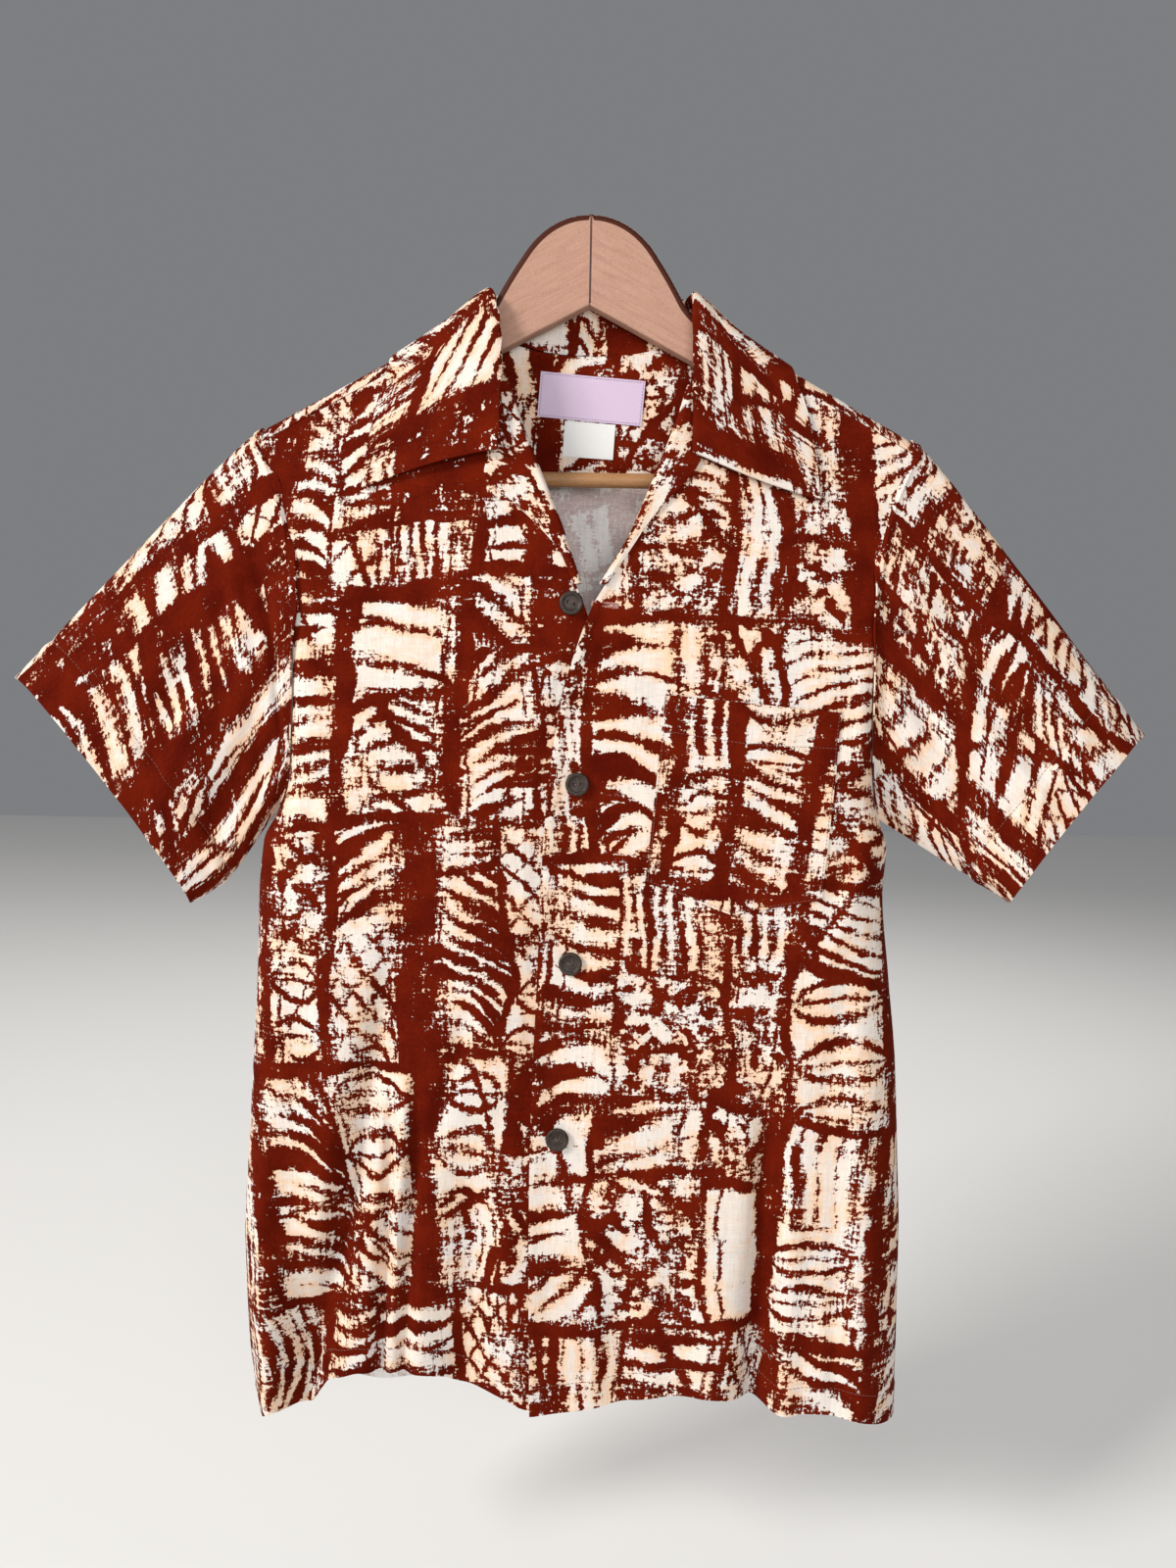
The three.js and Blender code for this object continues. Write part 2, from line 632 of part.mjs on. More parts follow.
// A section of the collar: up the stand, round the roll line and down the fall
function collarSection({ seam, roll, middle, edge }) {
  const toSeam = seam.clone().sub(roll).normalize();
  const toFall = middle.clone().sub(roll).normalize();
  const down = toSeam.clone().add(toFall).normalize();
  const across = toFall.sub(toSeam);
  across.addScaledVector(down, -across.dot(down)).normalize();
  const below = roll.clone().addScaledVector(down, 2 * COLLAR_ROLL);
  const curve = new THREE.CatmullRomCurve3(
    [
      seam,
      below.clone().addScaledVector(across, -COLLAR_ROLL),
      roll,
      below.clone().addScaledVector(across, COLLAR_ROLL),
      middle,
      edge,
    ],
    false,
    "centripetal",
  );
  return curve.getSpacedPoints(COLLAR_SECTION_STEPS);
}

function collarRows() {
  const half = (side) => COLLAR_CUTS.map((cut) => collarSection(collarStation(cut, side)));
  return [...half(-1).slice(1).reverse(), ...half(1)];
}

// The lapels: from the strip inside the neck, round the roll line, out to the turned edge

function lapelRows(side, table, depthAt) {
  const rollX = along(table, "z", "x");
  const reachAt = along(table, "z", "reach");
  const levels = table.length * 2 - 2;
  return evenly(levels).map((f) => {
    const z = mix(table[0].z, table[table.length - 1].z, f);
    const x = rollX(z);
    const reach = reachAt(z);
    const middle = { out: mix(3, reach, 0.5), offset: mix(-2.7, LAPEL_EDGE_OFFSET, 0.3) };
    return [...LAPEL_PROFILE, middle, { out: reach, offset: LAPEL_EDGE_OFFSET }].map(
      ({ out, offset }) => {
        const panelY = depthAt(x + side * Math.max(out, LAPEL_ROLL), z);
        return new THREE.Vector3(x + side * out, panelY + offset, z);
      },
    );
  });
}

// Flat pieces that lie on a panel

// A turned rectangle of cloth, laid at a given offset from a panel
function patchRows({ x, z, width, height, turn, point = 0 }, columns, rows, surface) {
  return evenly(rows).map((v) =>
    evenly(columns).map((u) => {
      const across = (u - 0.5) * width;
      const pointed = point * (1 - Math.abs(2 * u - 1));
      const down = -v * (height + pointed);
      const px = x + across * Math.cos(turn) + down * Math.sin(turn);
      const pz = z - across * Math.sin(turn) + down * Math.cos(turn);
      return new THREE.Vector3(px, surface(px, pz), pz);
    }),
  );
}

const facingY = (x, z) => backY(x, z) - FACING.offset;

function facingRows() {
  return evenly(8).map((v) =>
    evenly(14).map((u) => {
      const spread = 2 * u - 1;
      const topX = spread * FACING.topHalf;
      const top = new THREE.Vector3(topX, 0, backTop(topX) - SEAM_GAP);
      const low = new THREE.Vector3(spread * FACING.lowHalf, 0, FACING.lowZ);
      const p = top.lerp(low, v);
      p.y = facingY(p.x, p.z);
      return p;
    }),
  );
}

// Buttons: a dished disc with two sewing holes, its face towards -Y before it is placed
function buttonGeometry() {
  const { radius, thickness, holeRadius, holeSpacing } = BUTTON;
  const profile = [
    [0, 0],
    [radius - 0.7, 0],
    [radius, 0.7],
    [radius, thickness - 0.6],
    [radius - 0.6, thickness],
    [radius - 2, thickness],
    [radius - 3, thickness - 0.8],
    [0, thickness - 0.8],
  ].map(([r, h]) => new THREE.Vector2(r, h));
  const disc = solidOf(new THREE.LatheGeometry(profile, 18));
  const holes = [-1, 1].map((s) =>
    solidOf(rod(holeRadius, -1, thickness + 1, (s * holeSpacing) / 2, 0, 6)),
  );
  const made = geometryOfSolid(disc.subtract(holes[0]).subtract(holes[1]));
  return made.rotateX(Math.PI);
}

function buttonMesh({ name, x, z, on }) {
  const depthAt = on === "over" ? frontY : underY;
  const step = 6;
  const slopeX = (depthAt(x + step, z) - depthAt(x - step, z)) / (2 * step);
  const slopeZ = (depthAt(x, z + step) - depthAt(x, z - step)) / (2 * step);
  const mesh = named(name, buttonGeometry(), COLOURS.coconut, 0.55);
  mesh.position.set(x, depthAt(x, z) - CLOTH / 2 - 0.45, z);
  const outward = new THREE.Vector3(slopeX, -1, slopeZ).normalize();
  mesh.quaternion.setFromUnitVectors(new THREE.Vector3(0, -1, 0), outward);
  return mesh;
}

// The hanger: two flat arms that meet in the middle of the head, and a trouser bar

function armShape() {
  const topEdge = (x) => ridgeZ(x) - 2.8;
  const shape = new THREE.Shape();
  const past = -2 * HANGER.bevel; // the shape runs past the middle, and is cut there
  shape.moveTo(past, -36.5);
  shape.lineTo(0, -36.5);
  shape.lineTo(148, -113);
  shape.quadraticCurveTo(172, -126, 178, -142);
  shape.quadraticCurveTo(182, -156, 194, -156);
  shape.quadraticCurveTo(206, -155, 206, -140);
  shape.quadraticCurveTo(206.5, topEdge(199) - 5, 196, topEdge(196));
  shape.lineTo(84, topEdge(84));
  shape.quadraticCurveTo(68, topEdge(74), 60, -35);
  shape.quadraticCurveTo(52, -20, 43, -7);
  shape.bezierCurveTo(33, 9, 18, 19, 0, 19);
  shape.lineTo(past, 19);
  return shape;
}

function armGeometry(side) {
  const { thickness, bevel } = HANGER;
  const plate = new THREE.ExtrudeGeometry(armShape(), {
    depth: thickness - 2 * bevel,
    bevelSize: bevel,
    bevelOffset: -bevel,
    bevelThickness: bevel,
    bevelSegments: 2,
    curveSegments: 8,
  });
  // the shape's XY plane becomes XZ, and the plate then reaches from its front face back to y = 0
  plate.translate(0, 0, bevel).rotateX(Math.PI / 2);
  const half = new THREE.BoxGeometry(300, 40, 300).translate(150 + HANGER.split / 2, 0, 0);
  const barHole = rod(HANGER.barRadius + 0.3, 150, 189.3, 0, 0);
  barHole.rotateZ(-Math.PI / 2).translate(0, -thickness / 2, HANGER.barZ);
  const arm = solidOf(plate)
    .intersect(solidOf(half))
    .subtract(solidOf(barHole))
    .subtract(solidOf(rod(PEG.holeRadius, -PEG.depth, 1, 0, 0)));
  return geometryOfSolid(side > 0 ? arm : arm.mirror([1, 0, 0]));
}

// Assembly

function named(name, geometry, colour, roughness) {
  const material = new THREE.MeshStandardMaterial({ color: colour, roughness, metalness: 0 });
  const mesh = new THREE.Mesh(geometry, material);
  mesh.name = name;
  return mesh;
}

const CLOTH_ROUGHNESS = 0.9;
const pocketY = (x, z) => frontY(x, z) - CLOTH - 0.35;
const labelY = (x, z) => facingY(x, z) - 0.5 * (CLOTH + TRIM) - 0.25;
const tagY = (x, z) => labelY(x, z) - 0.1;

const shirt = new THREE.Group();
shirt.add(
  named("back", backGeometry(), COLOURS.print, CLOTH_ROUGHNESS),
  named("right_front", gridWall(underFront, CLOTH, { flip: true }), COLOURS.print, CLOTH_ROUGHNESS),
  named("left_front", gridWall(overFront, CLOTH), COLOURS.print, CLOTH_ROUGHNESS),
  ...Object.entries(SLEEVES).map(([name, sleeve]) =>
    named(
      name,
      gridWall(sleeveRings(sleeve), CLOTH, { ring: true, flip: sleeve.side > 0 }),
      COLOURS.print,
      CLOTH_ROUGHNESS,
    ),
  ),
  named("collar", gridWall(collarRows(), COLLAR_CLOTH), COLOURS.print, CLOTH_ROUGHNESS),
  named("right_lapel", gridWall(lapelRows(-1, LAPELS.under, underY), CLOTH), COLOURS.print, CLOTH_ROUGHNESS),
  named(
    "left_lapel",
    gridWall(lapelRows(1, LAPELS.over, frontY), CLOTH, { flip: true }),
    COLOURS.print,
    CLOTH_ROUGHNESS,
  ),
  named("back_facing", gridWall(facingRows(), CLOTH, { flip: true }), COLOURS.print, CLOTH_ROUGHNESS),
  named("pocket", gridWall(patchRows(POCKET, 6, 6, pocketY), CLOTH, { flip: true }), COLOURS.print, CLOTH_ROUGHNESS),
  named("neck_label", gridWall(patchRows(LABEL, 6, 3, labelY), TRIM, { flip: true }), COLOURS.lilac, 0.6),
  named("care_tag", gridWall(patchRows(TAG, 4, 3, tagY), TRIM, { flip: true }), COLOURS.white, 0.8),
  ...BUTTONS.map(buttonMesh),
);

const hanger = new THREE.Group();
hanger.add(
  named("hanger_arm_left", armGeometry(1), COLOURS.wood, 0.6),
  named("hanger_arm_right", armGeometry(-1), COLOURS.wood, 0.6),
  named(
    "trouser_bar",
    rod(HANGER.barRadius, -189, 189, 0, 0)
      .rotateZ(Math.PI / 2)
      .translate(0, -HANGER.thickness / 2, HANGER.barZ),
    COLOURS.wood,
    0.5,
  ),
);

const part = new THREE.Group();
part.add(shirt, hanger);
export default part;
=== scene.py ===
import math
import bpy
import numpy as np
from mathutils import Matrix, Vector


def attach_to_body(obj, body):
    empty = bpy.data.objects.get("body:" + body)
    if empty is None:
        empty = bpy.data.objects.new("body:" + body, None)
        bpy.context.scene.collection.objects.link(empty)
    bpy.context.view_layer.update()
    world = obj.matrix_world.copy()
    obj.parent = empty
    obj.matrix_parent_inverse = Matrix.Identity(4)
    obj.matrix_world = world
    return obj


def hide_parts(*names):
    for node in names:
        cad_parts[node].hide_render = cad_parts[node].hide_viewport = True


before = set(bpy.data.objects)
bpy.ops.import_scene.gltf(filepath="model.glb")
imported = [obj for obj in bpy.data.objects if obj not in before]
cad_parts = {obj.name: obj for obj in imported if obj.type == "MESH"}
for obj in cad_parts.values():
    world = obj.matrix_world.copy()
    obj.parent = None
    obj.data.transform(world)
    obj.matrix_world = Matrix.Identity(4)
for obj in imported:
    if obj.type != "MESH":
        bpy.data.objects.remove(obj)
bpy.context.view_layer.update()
print("frame loaded:", len(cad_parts), "nodes")

# Sizes below are in millimetres, and become metres where a mesh is made. The shirt's front faces -Y.
metres = 0.001

# Camera, light and floor
cameraLook = {"place": (4.5, -777.4, -277.2), "pitchDown": 4.74, "roll": 1.07, "lens": 27, "sensor": 36}
stageLook = {
    "floorZ": -905,
    "floorSize": 9000,
    "floorColour": (0.80, 0.79, 0.77, 1),
    "worldColour": (0.86, 0.88, 0.92, 1),
    "worldStrength": 0.24,
    "lamps": [  # place, aimed at, size, watts, colour
        ((-3300, -2200, 1700), (-20, 0, -330), 1200, 192, (1.0, 0.98, 0.95)),
        ((300, -2100, 100), (0, 0, -330), 1000, 22, (0.97, 0.98, 1.0)),
        ((300, 1600, 1100), (0, 0, -300), 1200, 22, (1.0, 0.98, 0.95)),
    ],
}


def makeCamera(look):
    data = bpy.data.cameras.new("camera")
    data.lens = look["lens"]
    data.sensor_width = look["sensor"]
    data.clip_start, data.clip_end = 0.01, 50
    made = bpy.data.objects.new("camera", data)
    bpy.context.scene.collection.objects.link(made)
    pitch, roll = math.radians(look["pitchDown"]), math.radians(look["roll"])
    ahead = Vector((0, math.cos(pitch), -math.sin(pitch)))
    level, upright = Vector((1, 0, 0)), Vector((0, math.sin(pitch), math.cos(pitch)))
    right = level * math.cos(roll) + upright * math.sin(roll)
    up = upright * math.cos(roll) - level * math.sin(roll)
    turn = Matrix((right, up, -ahead)).transposed().to_4x4()
    made.matrix_world = Matrix.Translation(Vector(look["place"]) * metres) @ turn
    bpy.context.scene.camera = made


def makeStage(look):
    scene = bpy.context.scene
    scene.view_settings.view_transform = "Standard"
    world = bpy.data.worlds.new("studio")
    world.use_nodes = True
    sky = world.node_tree.nodes["Background"]
    sky.inputs["Color"].default_value = look["worldColour"]
    sky.inputs["Strength"].default_value = look["worldStrength"]
    scene.world = world
    for number, (place, aim, size, watts, colour) in enumerate(look["lamps"]):
        data = bpy.data.lights.new(f"lamp{number}", "AREA")
        data.size, data.energy, data.color = size * metres, watts, colour
        lamp = bpy.data.objects.new(f"lamp{number}", data)
        scene.collection.objects.link(lamp)
        lamp.location = Vector(place) * metres
        lamp.rotation_mode = "QUATERNION"
        lamp.rotation_quaternion = (Vector(aim) - Vector(place)).to_track_quat("-Z", "Y")
    half, z = look["floorSize"] / 2 * metres, look["floorZ"] * metres
    mesh = bpy.data.meshes.new("floor")
    mesh.from_pydata(
        [(-half, -half, z), (half, -half, z), (half, half, z), (-half, half, z)], [], [(0, 1, 2, 3)]
    )
    floor = bpy.data.objects.new("floor", mesh)
    scene.collection.objects.link(floor)
    paint = bpy.data.materials.new("floorPaint")
    paint.use_nodes = True
    shader = paint.node_tree.nodes["Principled BSDF"]
    shader.inputs["Base Color"].default_value = look["floorColour"]
    shader.inputs["Roughness"].default_value = 0.9
    mesh.materials.append(paint)


makeCamera(cameraLook)
makeStage(stageLook)
print("camera and stage made")


# Shader maths: a socket that takes sums as numbers do
class Wire:
    def __init__(self, tree, socket=None):
        self.tree, self.socket = tree, socket

    # Any node: its type, its settings, then the values or links of its inputs
    def node(self, kind, settings=None, inputs=None, output=0):
        made = self.tree.nodes.new("ShaderNode" + kind)
        for name, value in (settings or {}).items():
            if name == "stops":
                ramp = made.color_ramp
                while len(ramp.elements) < len(value):
                    ramp.elements.new(0.5)
                for stop, (place, colour) in zip(ramp.elements, value):
                    stop.position, stop.color = place, colour
            else:
                setattr(made, name, value)
        for name, value in (inputs or {}).items():
            if isinstance(value, Wire):
                self.tree.links.new(value.socket, made.inputs[name])
            else:
                made.inputs[name].default_value = value
        return Wire(self.tree, made.outputs[output])

    def maths(self, operation, *values):
        return self.node("Math", {"operation": operation}, dict(enumerate(values)))

    def vectors(self, operation, *values):
        return self.node("VectorMath", {"operation": operation}, dict(enumerate(values)))

    __add__ = lambda self, other: self.maths("ADD", self, other)
    __radd__ = lambda self, other: self.maths("ADD", other, self)
    __sub__ = lambda self, other: self.maths("SUBTRACT", self, other)
    __rsub__ = lambda self, other: self.maths("SUBTRACT", other, self)
    __mul__ = lambda self, other: self.maths("MULTIPLY", self, other)
    __rmul__ = lambda self, other: self.maths("MULTIPLY", other, self)
    __truediv__ = lambda self, other: self.maths("DIVIDE", self, other)
    __gt__ = lambda self, other: self.maths("GREATER_THAN", self, other)
    __lt__ = lambda self, other: self.maths("LESS_THAN", self, other)
    most = lambda self, other: self.maths("MAXIMUM", self, other)
    least = lambda self, other: self.maths("MINIMUM", self, other)
    sin = lambda self: self.maths("SINE", self)
    floor = lambda self: self.maths("FLOOR", self)
    fract = lambda self: self.maths("FRACT", self)
    size = lambda self: self.maths("ABSOLUTE", self)

    def ramp(self, low, high, toLow=0.0, toHigh=1.0):
        names = ("Value", "From Min", "From Max", "To Min", "To Max")
        settings = {"interpolation_type": "SMOOTHSTEP"}
        return self.node("MapRange", settings, dict(zip(names, (self, low, high, toLow, toHigh))))

    def blend(self, first, second):  # numbers: first where self is 0, second where it is 1
        return self.node("Mix", {"data_type": "FLOAT"}, {0: self, 2: first, 3: second})

    def tint(self, first, second, way="MIX"):  # colours
        settings = {"data_type": "RGBA", "blend_type": way}
        return self.node("Mix", settings, {0: self, 6: first, 7: second}, output=2)


def point(x, y, z=0.0):
    return x.node("CombineXYZ", None, {0: x, 1: y, 2: z})


def noise(place, scale, detail=2.0, roughness=0.5, output=0, distortion=0.0):
    inputs = {
        "Vector": place, "Scale": scale, "Detail": detail, "Roughness": roughness, "Distortion": distortion
    }
    return place.node("TexNoise", {"noise_dimensions": "3D"}, inputs, output)


def split(vector):
    made = vector.tree.nodes.new("ShaderNodeSeparateXYZ")
    vector.tree.links.new(vector.socket, made.inputs[0])
    return [Wire(vector.tree, socket) for socket in made.outputs]


def dice(x, y, seed):  # three random numbers for a cell
    spot = point(x, y, float(seed))
    return split(spot.node("TexWhiteNoise", {"noise_dimensions": "3D"}, {"Vector": spot}, output=1))


# A new material, with a Wire into its tree and its shader, whose plain values are set here
def startMaterial(name, constants):
    made = bpy.data.materials.new(name)
    made.use_nodes = True
    tree = made.node_tree
    shader = tree.nodes["Principled BSDF"]
    for socket, value in constants.items():
        shader.inputs[socket].default_value = value
    return made, Wire(tree), shader


def attach(shader, **links):
    for name, wire in links.items():
        wire.tree.links.new(wire.socket, shader.inputs[name.replace("_", " ")])


def clothPlace(start):  # the cloth's own flat coordinates, in centimetres across and up
    return start.node("UVMap", {"uv_map": "cloth"})


# The print
printLook = {
    "brownDark": (0.068, 0.0034, 0.0006, 1),
    "brown": (0.128, 0.0085, 0.0015, 1),
    "peach": (0.78, 0.475, 0.27, 1),
    "cream": (0.73, 0.635, 0.55, 1),
    "coolCream": (0.69, 0.63, 0.58, 1),
    "columnWidth": 5.4,  # centimetres between the upright bands, on average
    "rowHeight": 15.2,  # and between the level ones
    "fishboneGap": 1.35,
    "netGap": 2.1,
    "eyeGap": 3.4,
    "ragged": 0.9,  # how far the dye's edges stray
}
# Where each piece is cut from the print, in centimetres
printPlaces = {
    "rightFront": (-155, 6.7), "leftFront": (-160.6, 176.5), "back": (47, 31), "collar": (71, 8),
    "rightLapel": (90, 40), "leftLapel": (101, 23), "pocket": (-100.5, -3.2), "facing": (-95, 76),
}
never = 9.0  # taken off a stroke that a block goes without


# The distance to the nearest line of an even row, and which line it is
def nearest(phase):
    line = (phase + 0.5).floor()
    return (phase - line).size(), line


# How deep each place lies in the dye, in centimetres: brown where it is over 0. A net of upright
# and level bands, each of its blocks filled with one kind of stroke, as on beaten bark cloth
def dyeDepth(place, look):
    bend = split(noise(place, 0.09, 2, 0.5, output=1))
    jag = split(noise(place, 1.3, 4, 0.6, output=1))
    rawU, rawV, _ = split(place)
    u = rawU + (bend[0] - 0.5) * 4.2 + (jag[0] - 0.5) * 0.55
    v = rawV + (bend[1] - 0.5) * 4.2 + (jag[1] - 0.5) * 0.55
    height = look["rowHeight"]
    rowPlace = v / height + (u * 0.13).sin() * 0.05
    rowOff, rowBand = nearest(rowPlace)
    row = rowPlace.floor()
    up = (rowPlace.fract() - 0.5) * height
    rowChance = dice(row, 5.0, 1)
    width = look["columnWidth"] * (0.8 + rowChance[0] * 0.5)
    columnPlace = u / width + rowChance[1] * 9.0 + (u * 0.55).sin() * 0.13
    columnOff, columnBand = nearest(columnPlace)
    column = columnPlace.floor()
    x = (columnPlace.fract() - 0.5) * width
    # the bands
    bandChance = dice(columnBand, row, 2)
    aside = columnOff * width
    upright = 0.22 + bandChance[0] * bandChance[0] - aside
    besideIt = 0.12 - (aside - 1.05).size() - (bandChance[1] < 0.55) * never
    level = 0.26 + dice(rowBand, column, 3)[0] * 0.42 - rowOff * height
    chance = dice(column, row, 4)
    parting = (chance[0] - 0.5) * height * 0.55
    upper = up > parting
    crossing = (up - parting + x * (chance[1] - 0.7) * 1.2).size()
    crossbar = 0.2 + chance[2] * 0.3 - crossing - (chance[1] < 0.4) * never
    struts = dice((columnPlace * 0.5).floor(), row, 10)
    lean = (columnPlace * 0.5).fract() - 0.5
    strut = 0.1 + struts[0] * 0.34 - (lean * width * 2.0 - up * (struts[1] - 0.5) * 1.5).size() * 0.85
    strut = strut - (struts[2] < 0.45) * never
    bands = upright.most(besideIt).most(level).most(crossbar).most(strut)
    # the strokes of each block
    block = row * 2.0 + upper
    one, two, pick = dice(column, block, 5), dice(column, block, 6), dice(column, block, 7)
    hand = (two[2] > 0.5) * 2.0 - 1.0
    gap = 1.2 + one[2]
    rise = v + x * (one[0] - 0.5) * 1.1 + x * x * (one[1] - 0.4) * 0.15
    rungOff, rung = nearest(rise / gap + (rise * 1.3 + two[0] * 6.0).sin() * 0.12)
    rungChance = dice(rung, column, 8)
    rungTilt = x * (rungChance[0] - 0.5) * 0.42
    ladder = 0.20 + rungChance[1] * 0.34 + x * (two[1] - 0.5) * 0.1 - (rungOff * gap + rungTilt).size()
    q = (up + x * hand * 1.7).size()
    bone = nearest((v + q * 0.3) / look["fishboneGap"])[0] * look["fishboneGap"]
    fishbone = (0.3 - q * 0.5).most(0.35 - q * 0.03 - bone)
    streakGap = 0.85 + one[2] * 0.6
    streakOff, streak = nearest((u + (v * 0.7).sin() * 0.16) / streakGap)
    streakChance = dice(streak, (v * 0.3).floor(), 9)
    streaks = streakChance[0] * 0.46 - 0.02 - streakOff * streakGap
    slope = 0.9 + one[0] * 0.5
    netOne = nearest((v + u * slope) / look["netGap"])[0]
    netTwo = nearest((v - u * slope) / look["netGap"])[0]
    net = 0.21 - netOne.least(netTwo + two[0] * 0.1) * look["netGap"] * 0.7
    lid = nearest(v / look["eyeGap"])[0] * look["eyeGap"]
    eyes = (0.25 - (lid - 1.15 + x * x * 0.2).size()).most(0.14 - lid)
    cloud = noise(place, 0.8, 5, 0.64)
    blots = (cloud - 0.49) * 4.0
    motif = ladder
    kinds = (
        (fishbone, 0.28), (streaks, 0.44), (net, 0.57), (eyes, 0.63), (blots, 0.72),
        (cloud - 0.95, 0.87), (blots + 0.5, 0.92),
    )
    for kind, threshold in kinds:
        motif = (pick[0] > threshold).blend(motif, kind)
    # ragged edges, drawn out along the threads, and more so where the brush ran dry
    acrossGrain = noise(point(rawU * 0.55, rawV * 3.0), 1.0, 4, 0.65)
    upGrain = noise(point(rawU * 3.0, rawV * 0.55), 1.0, 4, 0.65)
    grain = noise(place, 4.6, 3, 0.7)
    dry = noise(place, 0.28, 3, 0.6).ramp(0.38, 0.66, 0.55, 2.3)
    stray = (acrossGrain + upGrain + grain * 1.1 - 1.55) * dry * look["ragged"]
    clean = bands.most(motif).most(-0.46).least(0.36)
    return clean, stray, grain, rawU, rawV


# Slubby threads both ways, about half a millimetre apart, as a height from 0 to 1
def weaveHeight(u, v):
    warp = noise(point(u, v * 0.075), 17.0, 2, 0.5)
    weft = noise(point(u * 0.075, v), 17.0, 2, 0.5)
    slub = noise(point(u * 0.09, v), 5.0, 2, 0.55)
    return warp * 0.42 + weft * 0.42 + slub * 0.16


def printCloth(name, look, faded=False):
    constants = {"Roughness": 0.92, "Specular IOR Level": 0.04}
    made, start, shader = startMaterial(name, constants)
    place = clothPlace(start)
    clean, stray, grain, u, v = dyeDepth(place, look)
    dye = clean + stray
    weave = weaveHeight(u, v)
    threads = (weave - 0.5) * 1.4 + (noise(point(u, v * 0.05), 5.0, 2, 0.6) - 0.5) * 0.5
    if faded:  # the wrong side, where the dye only shows between the threads
        show = dye.ramp(-0.1, 0.14) * (weave * 1.6 + grain * 0.5 - 0.55).ramp(0.2, 0.62)
        ground = noise(place, 0.35, 2).ramp(0.35, 0.65).tint((0.74, 0.70, 0.66, 1), (0.82, 0.78, 0.74, 1))
        colour = (show * 0.55).tint(ground, (0.30, 0.095, 0.085, 1))
    else:
        brown = dye.ramp(-0.025, 0.025)
        patch = noise(place, 0.30, 3, 0.6).ramp(0.42, 0.58)
        halo = (clean + stray * 0.6).ramp(-0.62, -0.04) * patch * 0.75
        ground = noise(place, 0.22, 2).ramp(0.35, 0.65).tint(look["cream"], look["coolCream"])
        ground = halo.tint(ground, look["peach"])
        depth = (noise(place, 0.4, 3) * 0.9 + grain * 0.5 - 0.2).ramp(0.25, 0.75)
        colour = brown.tint(ground, depth.tint(look["brownDark"], look["brown"]))
    lit = threads * 0.55 + 1.0
    colour = place.vectors("MULTIPLY", colour, point(lit, lit, lit))
    bump = place.node("Bump", None, {"Strength": 0.5, "Distance": 0.00035, "Height": weave})
    attach(shader, Base_Color=colour, Normal=bump)
    return made


# Plain finishes
def labelCloth(name, base, ribs, edge):
    made, start, shader = startMaterial(name, {"Roughness": 0.55, "Sheen Weight": 0.2})
    place = clothPlace(start)
    u, v, _ = split(place)
    rib = (v * 6.283 * ribs).sin() * 0.5 + 0.5
    slub = noise(point(u * 0.2, v), 14.0, 2)
    shade = (rib * 0.35 + slub * 0.65).tint(edge, base)
    bump = place.node("Bump", None, {"Strength": 0.35, "Distance": 0.0002, "Height": rib * 0.5 + slub * 0.5})
    attach(shader, Base_Color=shade, Normal=bump)
    return made


def threadFinish(name, base, dark):
    made, start, shader = startMaterial(name, {"Roughness": 0.6, "Sheen Weight": 0.3})
    spot = start.node("TexCoord", None, None, output=3)
    twist = noise(spot, 900.0, 2)
    attach(shader, Base_Color=twist.ramp(0.3, 0.7).tint(dark, base))
    return made


def coconut(name):
    made, start, shader = startMaterial(name, {"Specular IOR Level": 0.2})
    spot = start.node("TexCoord", None, None, output=3)
    x, y, z = split(spot)
    fibre = noise(point(x, y, z * 0.16), 1500.0, 4, 0.65)
    cloud = noise(spot, 260.0, 3, 0.6)
    pale = fibre.ramp(0.56, 0.74) * 0.55
    colour = cloud.ramp(0.3, 0.7).tint((0.020, 0.0125, 0.009, 1), (0.048, 0.032, 0.024, 1))
    colour = pale.tint(colour, (0.17, 0.12, 0.085, 1))
    bump = spot.node("Bump", None, {"Strength": 0.3, "Distance": 0.0002, "Height": fibre})
    attach(shader, Base_Color=colour, Roughness=fibre.ramp(0.3, 0.8, 0.32, 0.55), Normal=bump)
    return made


def wood(name, pale, deep, rim, gloss):
    made, start, shader = startMaterial(
        name, {"Coat Weight": gloss, "Coat Roughness": 0.4, "Specular IOR Level": 0.16}
    )
    place = start.node("UVMap", {"uv_map": "grain"})
    u, v, _ = split(place)
    drift = noise(point(u * 0.12, v), 1.1, 2)
    figure = noise(point(u * 0.08, v + drift * 1.2), 5.0, 4, 0.6)
    pores = noise(point(u * 0.13, v), 34.0, 3, 0.7)
    fleck = noise(point(u * 0.3, v * 1.6), 16.0, 3, 0.6)
    tone = figure * 0.35 + fleck * 0.4 + pores * 0.4
    colour = tone.ramp(0.38, 0.74).tint(deep, pale)
    colour = (pores.ramp(0.56, 0.72) * 0.5).tint(colour, (deep[0] * 0.55, deep[1] * 0.5, deep[2] * 0.45, 1))
    worn = start.node("Attribute", {"attribute_name": "rim"}, None, output=2)
    edge = (worn + (fleck - 0.5) * 0.35).ramp(0.4, 0.62)
    colour = edge.tint(colour, rim)
    bump = place.node("Bump", None, {"Strength": 0.25, "Distance": 0.0002, "Height": pores})
    rough = edge.blend(tone.ramp(0.3, 0.8, 0.55, 0.68), 0.5)
    attach(shader, Base_Color=colour, Roughness=rough, Normal=bump)
    return made


